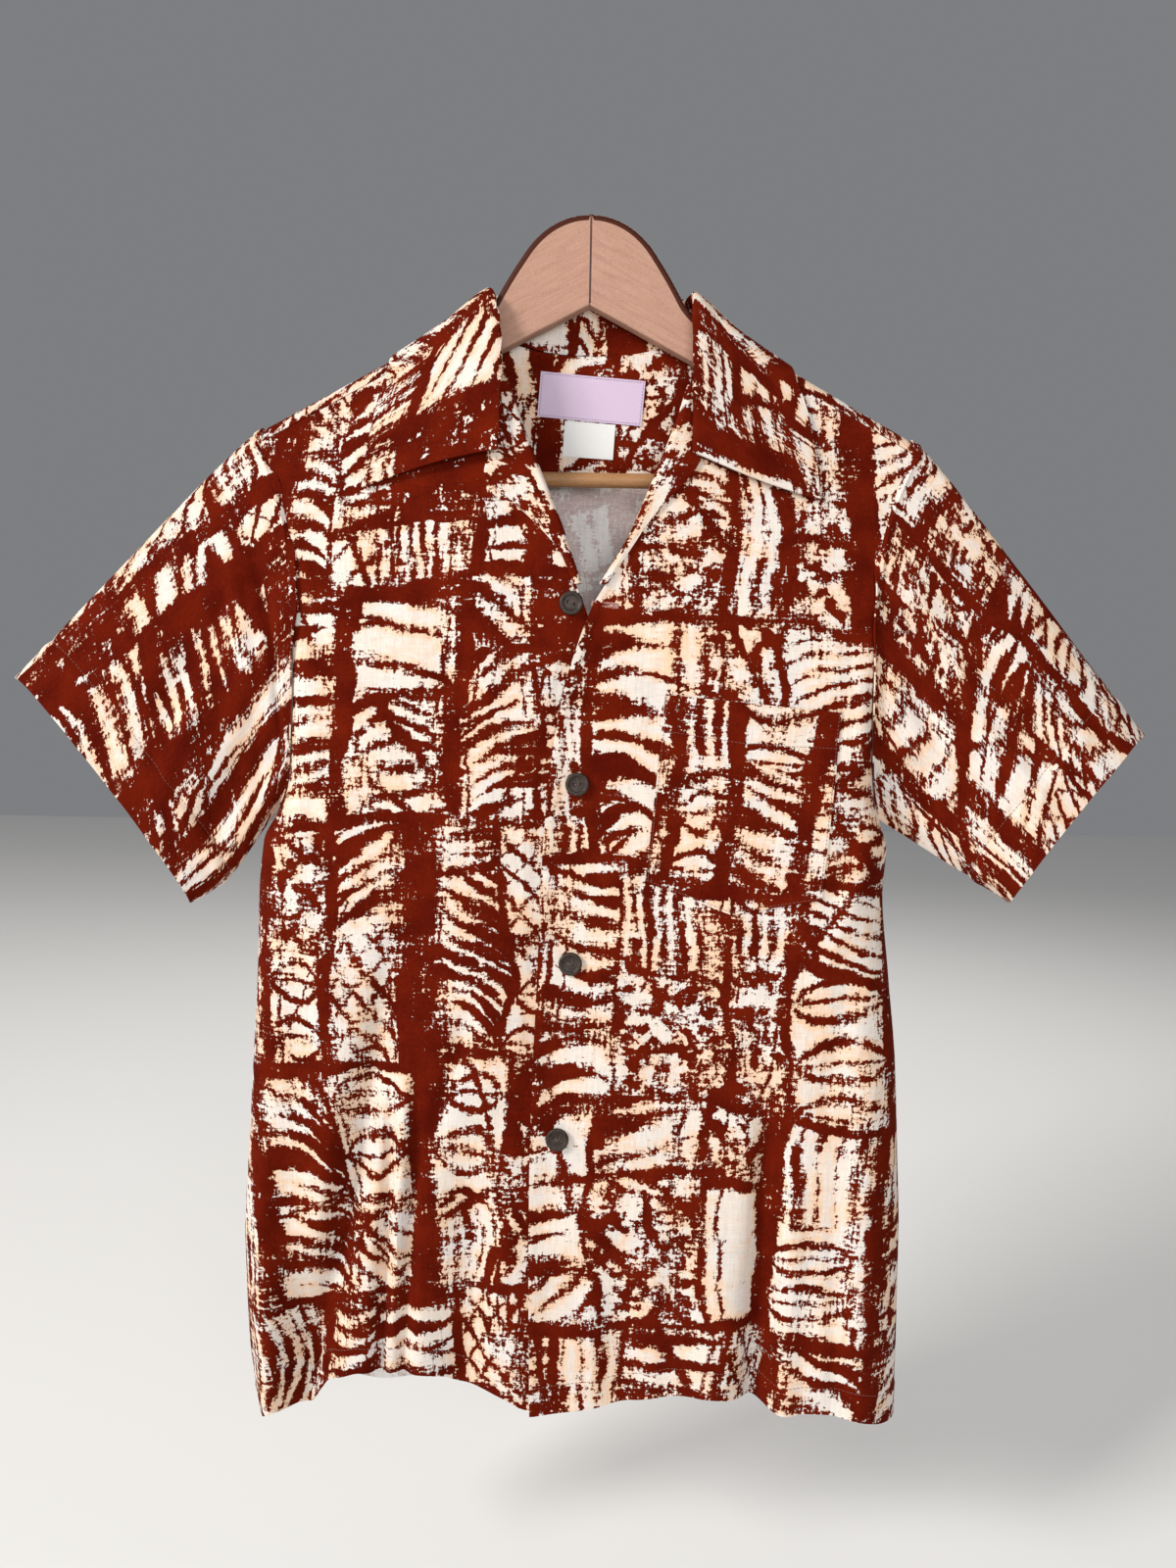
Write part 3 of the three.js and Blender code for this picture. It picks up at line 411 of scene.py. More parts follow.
materials = {
    "print": printCloth("printCloth", printLook),
    "wrongSide": printCloth("wrongSide", printLook, faded=True),
    "lilac": labelCloth("lilacLabel", (0.60, 0.465, 0.60, 1), 9.0, (0.52, 0.39, 0.52, 1)),
    "white": labelCloth("whiteTag", (0.74, 0.73, 0.70, 1), 12.0, (0.67, 0.66, 0.63, 1)),
    "thread": threadFinish("topThread", (0.22, 0.085, 0.05, 1), (0.12, 0.035, 0.018, 1)),
    "paleThread": threadFinish("paleThread", (0.50, 0.24, 0.19, 1), (0.33, 0.13, 0.10, 1)),
    "plumThread": threadFinish("plumThread", (0.20, 0.10, 0.22, 1), (0.12, 0.06, 0.14, 1)),
    "buttonThread": threadFinish("buttonThread", (0.075, 0.042, 0.038, 1), (0.04, 0.02, 0.018, 1)),
    "coconut": coconut("coconutShell"),
    "hangerWood": wood(
        "hangerWood", (0.50, 0.295, 0.215, 1), (0.33, 0.17, 0.115, 1), (0.055, 0.010, 0.003, 1), 0.02
    ),
    "barWood": wood("barWood", (0.45, 0.235, 0.10, 1), (0.27, 0.12, 0.045, 1), (0.1, 0.04, 0.02, 1), 0.3),
}
print("materials made:", len(materials))


# Tables and small helpers
def rows(columns, *values):  # a table with named columns
    names = columns.split()
    return [dict(zip(names, row)) for row in values]


def smooth(t):
    t = np.clip(t, 0, 1)
    return t * t * (3 - 2 * t)


def mix(a, b, t):
    return a + (b - a) * t


# One column of a table as a smooth function of another, which never overshoots
def along(table, key, column):
    table = sorted(table, key=lambda row: row[key])
    x = np.array([row[key] for row in table], float)
    y = np.array([row[column] for row in table], float)
    width = np.diff(x)
    rise = np.diff(y) / width
    slope = np.concatenate([rise[:1], np.zeros(len(rise) - 1), rise[-1:]])
    both = rise[:-1] * rise[1:]
    total = rise[:-1] + rise[1:]
    slope[1:-1] = np.where(both > 0, 2 * both / np.where(total == 0, 1, total), 0)

    def value(at):
        at = np.clip(at, x[0], x[-1])
        i = np.clip(np.searchsorted(x, at) - 1, 0, len(x) - 2)
        t = (at - x[i]) / width[i]
        start = y[i] * (2 * t**3 - 3 * t**2 + 1) + slope[i] * width[i] * (t**3 - 2 * t**2 + t)
        return start + y[i + 1] * (3 * t**2 - 2 * t**3) + slope[i + 1] * width[i] * (t**3 - t**2)

    return value


# Gentle, seeded unevenness: a sum of waves in all directions
def ripples(seed, shortest, longest, count=22):
    random = np.random.default_rng(seed)
    angle = random.uniform(0, math.pi, count)
    length = np.exp(random.uniform(math.log(shortest), math.log(longest), count))
    phase = random.uniform(0, 2 * math.pi, count)
    weight = (length / longest) ** 0.8

    def height(a, b):
        total = sum(
            w * np.sin(2 * math.pi * (a * math.cos(g) + b * math.sin(g)) / l + p)
            for w, g, l, p in zip(weight, angle, length, phase)
        )
        return total / weight.sum() * 2.2

    return height


# The shirt's shape, with the same measures as the solids
shirt = {
    "underarmZ": -362,
    "hemZ": -752,
    "topLevel": -128,
    "seamDrop": 8,
    "seamGap": 0.5,
    "neckX": 69,
    "neckZ": -41.5,
    "tipX": 212,
    "slope": 0.549,
    "ridgeY": -5.5,
    "ridgeHalf": 7.4,
    "hemReach": 110,
    "neckDip": 24,
    "cloth": 0.9,
    "hemDepth": 21,
    "turned": 1.9,  # how many times as thick a turned hem is
}

fall = rows(
    "drop front back",
    (8, -12.9, 1.9), (16, -13.8, 4.2), (30, -16.5, 5.6), (56, -22, 7), (100, -30, 9),
    (160, -38.5, 12), (230, -44, 14.5), (330, -46, 16), (520, -46, 16), (760, -45, 15),
)
sideLine = rows(
    "z x lean front back curl",
    (-752, 212.5, 5, -18, -18, 34), (-700, 216.5, 1, -17, -17, 34), (-640, 217.5, -0.6, -16, -16, 34),
    (-580, 214.5, -0.7, -15, -15, 34), (-520, 211, -1, -15, -15, 34), (-460, 206, -3, -15, -15, 33),
    (-410, 202.8, -5.2, -14, -14, 30), (-380, 202, -3, -13.2, -13.2, 26), (-362, 195, -1, -13, -13, 22),
    (-340, 187, 0, -20, -3, 17), (-315, 184, 0, -27, 5, 13), (-285, 182.5, 0, -32, 9, 11),
    (-250, 182.5, 0, -33, 9.5, 10), (-216, 186, 0, -30, 8, 9), (-186, 192, 0, -25, 6, 8),
    (-155, 201, 0, -18.5, 4, 6), (-128, 212, 0, -13, 1.9, 4),
)
buttonStand = {
    "over": rows(
        "z x",
        (-760, -26), (-656, -28), (-590, -28.5), (-526, -27.5), (-463, -25.5), (-400, -24),
        (-338, -20), (-289, -14), (-253, -4), (-228, 5),
    ),
    "under": rows("z x", (-760, 8), (-600, 7), (-450, 9), (-338, 11), (-289, 11), (-250, 7), (-232, 2)),
}
hemRise = {
    "front": rows(
        "x rise",
        (-213, -15), (-203, -10), (-194, -3), (-186, -3.5), (-179, -3.5), (-172, -1.5), (-165, 9),
        (-158, 18.5), (-149, 22.5), (-138, 26), (-126, 24.5), (-114, 25), (-102, 25), (-86, 22),
        (-73, 15.5), (-60, 11), (-50, 8.5), (-40, 6), (-33, 2), (-26, 0), (12, 4), (40, 9), (66, 14.5),
        (90, 15), (124, 8), (139, 3), (160, 4), (182, 4), (205, -4), (213, -6),
    ),
    "back": rows("x rise", (-213, -10), (-160, -8), (-110, -8), (-60, -4), (0, 2), (140, 0), (213, -6)),
}
folds = {
    "front": rows(
        "topX topZ endX endZ width depth",
        (-106, -400, -177, -752, 16, 14), (-108, -520, -120, -752, 11, 5), (-64, -480, -68, -752, 22, 11),
        (-200, -560, -194, -752, 16, -9), (-176, -230, -182, -560, 13, 5), (30, -560, 34, -752, 14, 5),
        (128, -520, 121, -752, 14, 9), (88, -600, 92, -752, 20, -4), (186, -430, 184, -752, 16, -6),
    ),
    "back": rows(
        "topX topZ endX endZ width depth",
        (-112, -200, -128, -752, 24, 9), (-52, -260, -48, -752, 26, 7),
        (24, -230, 20, -752, 24, 8), (96, -210, 116, -752, 26, 9),
    ),
}
# Smaller creases that only the finer shells carry, from one end to the other
creases = {
    "front": rows(
        "fromX fromZ toX toZ width depth",
        (-178, -330, -150, -420, 6, 2.0), (-172, -372, -128, -440, 5, 1.6), (-186, -392, -150, -500, 7, -1.6),
        (-168, -236, -150, -330, 8, 1.8), (-60, -455, -112, -640, 6, 2.2), (-40, -600, -58, -748, 6, -2.2),
        (-114, -470, -131, -840, 4.5, 6.5), (-99, -490, -114, -840, 5, 5.5),
        (-106, -480, -122, -840, 4, -2.5),
        (-106, -400, -190, -840, 10, 7.5), (-206, -540, -196, -840, 7, -4), (-150, -500, -176, -840, 8, -4.5),
        (-66, -540, -58, -840, 12, 2), (126, -500, 117, -840, 8, 7), (142, -560, 136, -840, 9, -3.5),
        (70, -600, 78, -840, 10, 2.5), (170, -540, 176, -840, 8, 3), (-20, -352, -58, -372, 6, 1.0),
        (6, -346, 46, -366, 6, 0.9), (8, -462, 60, -486, 7, 1.0), (10, -575, 66, -610, 8, 1.2),
        (178, -330, 158, -425, 7, 2.0), (182, -380, 150, -470, 6, -1.5), (176, -430, 160, -560, 8, 1.8),
        (172, -215, 163, -330, 9, 1.6), (110, -470, 128, -610, 9, 1.4), (60, -640, 64, -752, 6, 1.6),
        (12, -640, 16, -752, 6, -1.4), (160, -640, 164, -752, 7, -2.0), (98, -180, 92, -262, 10, 1.4),
        (52, -250, 40, -330, 8, 0.8), (-92, -190, -84, -300, 12, 1.6), (-128, -170, -122, -260, 9, 1.2),
    ),
    "back": rows(
        "fromX fromZ toX toZ width depth",
        (-176, -250, -150, -420, 9, 2.4), (176, -250, 152, -430, 9, 2.4), (-84, -180, -96, -420, 12, 1.8),
        (70, -170, 78, -400, 13, 1.6), (-150, -520, -156, -752, 8, 2.2), (-90, -560, -86, -752, 7, -1.8),
        (-16, -520, -14, -752, 8, 1.6), (58, -540, 64, -752, 7, -1.8), (150, -500, 160, -752, 9, 2.4),
        (-182, -372, -140, -470, 6, -1.6), (184, -380, 146, -480, 6, -1.6), (-30, -300, -36, -520, 10, 1.2),
    ),
}
waves = {"front": ripples(11, 34, 150), "back": ripples(12, 40, 170)}

fallAt = {face: along(fall, "drop", face) for face in ("front", "back")}
sideMiddle, sideLean, sideCurl = (along(sideLine, "z", column) for column in ("x", "lean", "curl"))
sideY = {face: along(sideLine, "z", face) for face in ("front", "back")}
riseAt = {face: along(hemRise[face], "x", "rise") for face in ("front", "back")}


def sideX(level, side):
    return sideMiddle(level) + side * sideLean(level)


def ridgeZ(x):
    return shirt["neckZ"] - (np.minimum(np.abs(x), shirt["tipX"]) - shirt["neckX"]) * shirt["slope"]


def foldDepth(face, x, z):
    total = 0
    for fold in folds[face]:
        run = (fold["topZ"] - z) / (fold["topZ"] - fold["endZ"])
        across = (x - mix(fold["topX"], fold["endX"], run)) / fold["width"]
        total = total + fold["depth"] * smooth(run) * np.exp(-across * across)
    return total


def creaseDepth(table, a, b, names=("fromX", "fromZ", "toX", "toZ")):
    total = 0
    for crease in table:
        a0, b0, a1, b1 = (crease[name] for name in names)
        da, db = a1 - a0, b1 - b0
        length = math.hypot(da, db)
        run = ((a - a0) * da + (b - b0) * db) / length**2
        across = ((a - a0) * db - (b - b0) * da) / length / crease["width"]
        ends = smooth(run / 0.3) * smooth((1 - run) / 0.3)
        total = total + crease["depth"] * ends * np.exp(-across * across)
    return total


fineLook = {"seam": 12, "fade": 40, "waves": 1.7}


# The fine unevenness dies away towards the shoulder seam
def fineDepth(face, x, z):
    calm = smooth((ridgeZ(x) - z - fineLook["seam"]) / fineLook["fade"])
    return calm * (creaseDepth(creases[face], x, z) + fineLook["waves"] * waves[face](x, z))


def frontY(x, z):
    return fallAt["front"](ridgeZ(x) - z) + foldDepth("front", x, z) + fineDepth("front", x, z)


def backY(x, z):
    return fallAt["back"](ridgeZ(x) - z) - foldDepth("back", x, z) - fineDepth("back", x, z)


tuck = {"start": -62, "end": -36, "depth": 2.6}


def underY(x, z):
    return frontY(x, z) + tuck["depth"] * smooth((x - tuck["start"]) / (tuck["end"] - tuck["start"]))


overEdge = along(buttonStand["over"], "z", "x")


# Where the over front lies on the under front: how far the one sinks, and the other's doubled edge
placket = {
    "top": -215, "fade": 30, "sink": 2, "inside": 2, "sinkWidth": 6,
    "lift": 1.5, "reach": 16, "fold": 5, "foldTop": -226, "doubled": 2.2,
}


def inPlacket(z):
    return smooth((placket["top"] - z) / placket["fade"])


def tuckedY(x, z):
    across = (x - overEdge(z) + placket["inside"]) / placket["sinkWidth"]
    return underY(x, z) + placket["sink"] * inPlacket(z) * np.exp(-(across ** 2))


# Walls of cloth
def closed(grid):  # a ring's first column once more, after its last
    return np.concatenate([grid, grid[:, :1]], axis=1)


def unit(arrows):
    return arrows / np.linalg.norm(arrows, axis=-1, keepdims=True)


def runOf(line):  # the length along a line, at each of its points
    return np.concatenate([[0], np.cumsum(np.linalg.norm(np.diff(line, axis=0), axis=1))])


def pointsAt(places, run, line):
    return np.stack([np.interp(places, run, line[:, k]) for k in range(3)], axis=1)


# The four-cornered faces of a grid of point numbers
def quadsOf(index, turned=False):
    a, b, c, d = index[:-1, :-1], index[:-1, 1:], index[1:, 1:], index[1:, :-1]
    return np.stack([a, d, c, b] if turned else [a, b, c, d], axis=-1).reshape(-1, 4)


def normalsOf(grid, ring=False):
    if ring:
        wide = np.concatenate([grid[:, -1:], grid, grid[:, :1]], axis=1)
        across = (wide[:, 2:] - wide[:, :-2]) / 2
    else:
        across = np.gradient(grid, axis=1)
    up = np.gradient(grid, axis=0)
    normal = np.cross(across, up)
    return normal / np.maximum(np.linalg.norm(normal, axis=2, keepdims=True), 1e-9)


def lengthsAlong(grid, axis):
    steps = np.linalg.norm(np.diff(grid, axis=axis), axis=2)
    start = np.zeros_like(steps[:, :1] if axis == 1 else steps[:1])
    return np.concatenate([start, np.cumsum(steps, axis=axis)], axis=axis)


def buildMesh(name, vertices, faces, slots, faceSlots=None, uvName=None, uv=None, sharp=50):
    mesh = bpy.data.meshes.new(name)
    mesh.from_pydata([tuple(v) for v in vertices * metres], [], faces)
    if uv is not None:
        layer = mesh.uv_layers.new(name=uvName)
        corners = np.empty(len(mesh.loops), int)
        mesh.loops.foreach_get("vertex_index", corners)
        layer.data.foreach_set("uv", uv[corners].astype(np.float32).ravel())
    for material in slots:
        mesh.materials.append(materials[material])
    if faceSlots is not None:
        mesh.polygons.foreach_set("material_index", np.asarray(faceSlots, np.int32))
    mesh.shade_smooth()
    mesh.set_sharp_from_angle(angle=math.radians(sharp))
    mesh.update()
    made = bpy.data.objects.new(name, mesh)
    bpy.context.scene.collection.objects.link(made)
    return made


# A wall of cloth round a grid of points. The grid's outer side is on its normals' side. uv is in
# centimetres of flat cloth, so that the print and the weave keep their scale
def shell(name, grid, uv, thickness, slots=("print", "wrongSide"), ring=False, flip=False):
    count, width = grid.shape[:2]
    normals = normalsOf(grid, ring) * (-1 if flip else 1)
    half = (np.ones((count, width)) * thickness / 2)[..., None]
    outer, inner = grid + normals * half, grid - normals * half
    vertices = np.concatenate([outer.reshape(-1, 3), inner.reshape(-1, 3)])
    flatUv = np.concatenate([uv.reshape(-1, 2), uv.reshape(-1, 2)])
    index = np.arange(count * width).reshape(count, width)
    index = closed(index) if ring else index
    quads = quadsOf(index)
    if flip:
        quads = quads[:, ::-1]
    shift = count * width
    edges = [(index[0], 1), (index[-1], -1)]
    if not ring:
        edges += [(index[:, 0], -1), (index[:, -1], 1)]
    rims = []
    for line, way in edges:
        line = line[::way] if not flip else line[::-way]
        rims.append(np.stack([line[1:], line[:-1], line[:-1] + shift, line[1:] + shift], axis=-1))
    rim = np.concatenate(rims)
    faces = np.concatenate([quads, quads[:, ::-1] + shift, rim])
    faceSlots = [0] * len(quads) + [len(slots) - 1] * len(quads) + [0] * len(rim)
    return buildMesh(name, vertices, faces.tolist(), slots, faceSlots, "cloth", flatUv)


def finishPiece(piece, slot, *nodes):
    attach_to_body(piece, "root")
    if nodes:
        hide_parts(*nodes)
    return piece


# Stitches: short rounded threads along a line of points, standing on the cloth
def stitches(name, lines, material, pitch=2.7, length=2.0, radius=0.17, sides=5):
    centres, ways, ups = [], [], []
    for line, normal in lines:
        run = runOf(line)
        places = np.arange(pitch / 2, run[-1], pitch)
        centres.append(pointsAt(places, run, line))
        ways.append(unit(pointsAt(places + 0.4, run, line) - pointsAt(places - 0.4, run, line)))
        ups.append(unit(pointsAt(places, run, normal)))
    centre, way, up = (np.concatenate(part) for part in (centres, ways, ups))
    side = np.cross(way, up)
    stations = [(-0.5, 0.15, -0.6), (-0.32, 1, 0.35), (0.32, 1, 0.35), (0.5, 0.15, -0.6)]
    rings = []
    for place, fat, lift in stations:
        for k in range(sides):
            turn = 2 * math.pi * k / sides
            out = side * math.cos(turn) + up * math.sin(turn)
            rings.append(centre + way * length * place + up * radius * lift + out * radius * fat)
    vertices = np.stack(rings, axis=1).reshape(-1, 3)
    each = len(stations) * sides
    pattern = []
    for ring in range(len(stations) - 1):
        for k in range(sides):
            low, high = ring * sides, (ring + 1) * sides
            pattern.append([low + k, low + (k + 1) % sides, high + (k + 1) % sides, high + k])
    caps = [list(range(sides))[::-1], list(range(each - sides, each))]
    faces = []
    for s in range(len(centre)):
        faces += [[i + s * each for i in face] for face in pattern + caps]
    piece = buildMesh(name, vertices, faces, [material], sharp=80)
    return finishPiece(piece, "print_cloth")


# The two fronts
def levelZ(level, topZ):
    share = (level - shirt["underarmZ"]) / (shirt["topLevel"] - shirt["underarmZ"])
    return np.where(level <= shirt["underarmZ"], level, mix(shirt["underarmZ"], topZ, share))


def withHem(face, x, z):
    return z + riseAt[face](x) * (1 - smooth((z - shirt["hemZ"]) / shirt["hemReach"]))


def panelGrid(levels, side, face, innerX, topOf, depthAt, flats, curls):
    outer, curl = sideX(levels, side)[:, None], sideCurl(levels)[:, None]
    gap = shirt["seamGap"] / 2 * (-1 if face == "front" else 1)
    seamY = sideY[face](levels)[:, None] + gap
    level = levels[:, None]
    x = mix(innerX[:, None], side * (outer - curl), flats[None, :])
    z = withHem(face, x, levelZ(level, topOf(x)))
    flatPart = np.stack([x, depthAt(x, z), z], axis=-1)
    angle = (np.arange(1, curls + 1) / curls * math.pi / 2)[None, :]
    x = side * (outer - curl + curl * np.sin(angle))
    z = withHem(face, x, levelZ(level, topOf(x)))
    y = mix(depthAt(x, z), seamY, 1 - np.cos(angle))
    return np.concatenate([flatPart, np.stack([x, y, z], axis=-1)], axis=1)


def frontTop(x):
    return ridgeZ(np.maximum(np.abs(x), shirt["neckX"])) - shirt["seamDrop"] - shirt["seamGap"]


lapels = {
    "under": rows(
        "z x reach",
        (-214, -2, 4.5), (-196, -8.5, 6), (-180, -14, 14), (-165, -20, 24), (-148, -27, 36),
        (-128, -35.5, 22), (-106, -44, 11), (-88, -51, 6),
    ),
    "over": rows(
        "z x reach",
        (-214, 9.5, 4.5), (-200, 18, 5), (-182, 28, 6.5), (-165, 35, 12), (-150, 41, 20),
        (-137, 46, 24), (-110, 56, 13), (-88, 62.5, 6),
    ),
}
lapelRoll = 3.4


def frontGrid(side, kind, depthAt, look):
    levels = np.linspace(shirt["hemZ"], shirt["topLevel"], look["rows"])
    flats = np.linspace(0, 1, look["flats"] + 1)
    roll = [{"z": row["z"], "x": row["x"] + side * lapelRoll} for row in lapels[kind]]
    neck = {"z": shirt["neckZ"] - shirt["seamDrop"], "x": side * (shirt["neckX"] + 1)}
    edgeX = along([*buttonStand[kind], *roll, neck], "z", "x")
    innerX = edgeX(levelZ(levels, frontTop(shirt["neckX"])))
    return panelGrid(levels, side, "front", innerX, frontTop, depthAt, flats, look["curls"]), levels


# Flat coordinates of a panel: the length across from its inner edge, and the height
def panelUv(grid, side, place):
    across = side * lengthsAlong(grid, 1) + grid[:, :1, 0]
    return np.stack([across, grid[..., 2]], axis=-1) / 10 + place


# Thicker cloth where a hem is turned up
def hemThickness(levels, width):
    turned = levels - shirt["hemZ"] < shirt["hemDepth"]
    return np.where(turned, shirt["turned"], 1.0)[:, None] * np.ones(width) * shirt["cloth"]


# The over front's edge is doubled, and its fold stands off the under front
def edgeY(x, z):
    return frontY(x, z) - placket["lift"] * inPlacket(z) * smooth(1 - (x - overEdge(z)) / placket["reach"])


def edgeThickness(grid, levels):
    thickness = hemThickness(levels, grid.shape[1])
    doubled = (lengthsAlong(grid, 1) < placket["fold"]) & (levels < placket["foldTop"])[:, None]
    return np.where(doubled, np.maximum(thickness, placket["doubled"]), thickness)


frontLook = {"flats": 84, "rows": 236, "curls": 14}
underGrid, levels = frontGrid(-1, "under", tuckedY, frontLook)
overGrid, _ = frontGrid(1, "over", edgeY, frontLook)
underUv = panelUv(underGrid, -1, printPlaces["rightFront"])
overUv = panelUv(overGrid, 1, printPlaces["leftFront"])
rightFront = shell("rightFront", underGrid, underUv, hemThickness(levels, underGrid.shape[1]), flip=True)
leftFront = shell("leftFront", overGrid, overUv, edgeThickness(overGrid, levels))
finishPiece(rightFront, "print_cloth", "right_front")
finishPiece(leftFront, "print_cloth", "left_front")
print("fronts made")


# The back
backLook = {"neckColumns": 24, "shoulderColumns": 50, "rows": 200, "curls": 12, "ridge": 10}


def backTop(x):
    across = np.minimum(1, np.abs(x) / shirt["neckX"])
    dip = (shirt["neckDip"] - shirt["seamDrop"]) * (1 - across**2.6)
    return ridgeZ(np.maximum(np.abs(x), shirt["neckX"])) - shirt["seamDrop"] - dip


# One half: rows up to the shoulder, then round over the ridge to the shoulder seam
def backHalf(side, look):
    levels = np.linspace(shirt["hemZ"], shirt["topLevel"], look["rows"])
    share = shirt["neckX"] / (sideX(levels, side) - sideCurl(levels))
    grid = []
    for level, neck in zip(levels, share):
        inner = np.linspace(0, neck, look["neckColumns"] + 1)
        flats = np.concatenate([inner, np.linspace(neck, 1, look["shoulderColumns"] + 1)[1:]])
        one = np.array([level])
        grid.append(panelGrid(one, side, "back", np.zeros(1), backTop, backY, flats, look["curls"])[0])
    grid = np.array(grid)
    edge = grid[-1, look["neckColumns"]:]
    angles = np.arange(1, look["ridge"] + 1) / look["ridge"] * math.pi
    ridge = np.array([
        np.stack([
            edge[:, 0],
            np.full(len(edge), shirt["ridgeY"] + shirt["ridgeHalf"] * math.cos(angle)),
            ridgeZ(edge[:, 0]) - shirt["seamDrop"] * (1 - math.sin(angle)),
        ], axis=-1)
        for angle in angles
    ])
    return grid, ridge


backSides = {side: backHalf(side, backLook) for side in (-1, 1)}


def backPiece(look):
    neck = look["neckColumns"]
    (leftGrid, leftRidge), (rightGrid, rightRidge) = backSides[-1], backSides[1]
    body = np.concatenate([leftGrid[:, ::-1], rightGrid[:, 1:]], axis=1)
    count, width = body.shape[:2]
    across = lengthsAlong(body, 1)
    across = across - across[:, leftGrid.shape[1] - 1:leftGrid.shape[1]]
    uv = np.stack([-across, body[..., 2]], axis=-1) / 10 + printPlaces["back"]
    bodyNormals = -normalsOf(body)
    points, normals = [body.reshape(-1, 3)], [bodyNormals.reshape(-1, 3)]
    flat, thick = [uv.reshape(-1, 2)], []
    thick.append(hemThickness(np.linspace(shirt["hemZ"], shirt["topLevel"], count), width).ravel())
    index = np.arange(count * width).reshape(count, width)
    quads = [quadsOf(index, turned=True)]
    halfWidth = leftGrid.shape[1]
    offset = count * width
    for side, ridge in ((-1, leftRidge), (1, rightRidge)):
        if side < 0:
            ridge, seam = ridge[:, ::-1], index[-1, :halfWidth - neck]
        else:
            seam = index[-1, halfWidth - 1 + neck:]
        whole = np.concatenate(
            [body[-1:, (0 if side < 0 else halfWidth - 1 + neck):][:, :ridge.shape[1]], ridge]
        )
        climb = lengthsAlong(whole, 0)[1:]
        seamUv = uv.reshape(-1, 2)[seam]
        climbUv = [np.broadcast_to(seamUv[:, 0], climb.shape), seamUv[:, 1] + climb / 10]
        flat.append(np.stack(climbUv, axis=-1).reshape(-1, 2))
        points.append(ridge.reshape(-1, 3))
        normals.append(-normalsOf(whole)[1:].reshape(-1, 3))
        thick.append(np.full(ridge.shape[0] * ridge.shape[1], shirt["cloth"]))
        ids = offset + np.arange(ridge.shape[0] * ridge.shape[1]).reshape(ridge.shape[:2])
        ids = np.concatenate([seam[None], ids])
        quads.append(quadsOf(ids, turned=True))
        offset += ridge.shape[0] * ridge.shape[1]
    points, normals, flat = (np.concatenate(part) for part in (points, normals, flat))
    half = np.concatenate(thick)[:, None] / 2
    quads = np.concatenate(quads)
    # the rim runs along every edge that only one quad has
    seen = {}
    for quad in quads.tolist():
        for a, b in zip(quad, quad[1:] + quad[:1]):
            if (b, a) in seen:
                del seen[(b, a)]
            else:
                seen[(a, b)] = True
    shift = len(points)
    rim = [[b, a, a + shift, b + shift] for a, b in seen]
    faces = quads.tolist() + (quads[:, ::-1] + shift).tolist() + rim
    vertices = np.concatenate([points + normals * half, points - normals * half])
    faceSlots = [0] * len(quads) + [1] * len(quads) + [0] * len(rim)
    return buildMesh(
        "backPanel", vertices, faces, ("print", "wrongSide"), faceSlots, "cloth",
        np.concatenate([flat, flat])
    )


backPanel = finishPiece(backPiece(backLook), "print_cloth", "back")
print("back made")


# The sleeves
sleeveLook = {
    "rightSleeve": {
        "side": -1, "node": "right_sleeve", "top": (-367, -279), "end": (-256, -423),
        "depth": 15, "y": -14, "cap": 2.5, "pull": 10, "sag": 7, "print": (-118, 74),
        "waves": ripples(21, 26, 90),
        "creases": rows(
            "fromU fromV toU toV width depth",
            (0.30, 0.10, 0.42, 0.95, 0.030, 2.4), (0.16, 0.20, 0.26, 0.85, 0.028, 2.0),
            (0.10, 0.05, 0.16, 0.50, 0.020, 1.4), (0.45, 0.02, 0.36, 0.40, 0.022, 2.6),
            (0.46, 0.30, 0.44, 0.90, 0.020, 2.0), (0.22, 0.35, 0.33, 0.98, 0.014, -1.4),
            (0.60, 0.05, 0.66, 0.80, 0.030, 2.2), (0.80, 0.10, 0.74, 0.90, 0.030, 2.0),
            (0.03, 0.13, 0.44, 0.10, 0.028, 2.6), (0.08, 0.20, 0.30, 0.26, 0.030, -1.6),
        ),
    },
    "leftSleeve": {
        "side": 1, "node": "left_sleeve", "top": (363.5, -303), "end": (283, -413),
        "depth": 27, "y": -15, "cap": 2.5, "pull": 12, "sag": 0, "print": (63, 176),
        "waves": ripples(22, 26, 90),
        "creases": rows(
            "fromU fromV toU toV width depth",
            (0.28, 0.08, 0.36, 0.80, 0.030, 2.4), (0.15, 0.15, 0.20, 0.75, 0.026, 1.8),
            (0.44, 0.02, 0.34, 0.45, 0.022, 2.8), (0.40, 0.25, 0.44, 0.95, 0.022, 2.0),
            (0.08, 0.10, 0.10, 0.60, 0.018, 1.4), (0.24, 0.40, 0.28, 0.98, 0.016, -1.4),
            (0.62, 0.05, 0.66, 0.80, 0.030, 2.2), (0.82, 0.10, 0.76, 0.90, 0.030, 2.0),
        ),
    },
}
sleeveFolds = rows(
    "around start end width depth",
    (0.38, 0, 0.95, 0.045, 6), (0.22, 0.05, 0.7, 0.05, 3.5), (0.68, 0, 0.9, 0.06, 5),
)
sleeveShape = {
    "rings": 84, "around": 160, "hem": 36, "gap": 0.9, "under": 5.5, "groove": 1.1, "puff": 0.7,
    "creases": 1.7, "waves": 2.1, "inside": 1.7, "lip": 1.5,
}


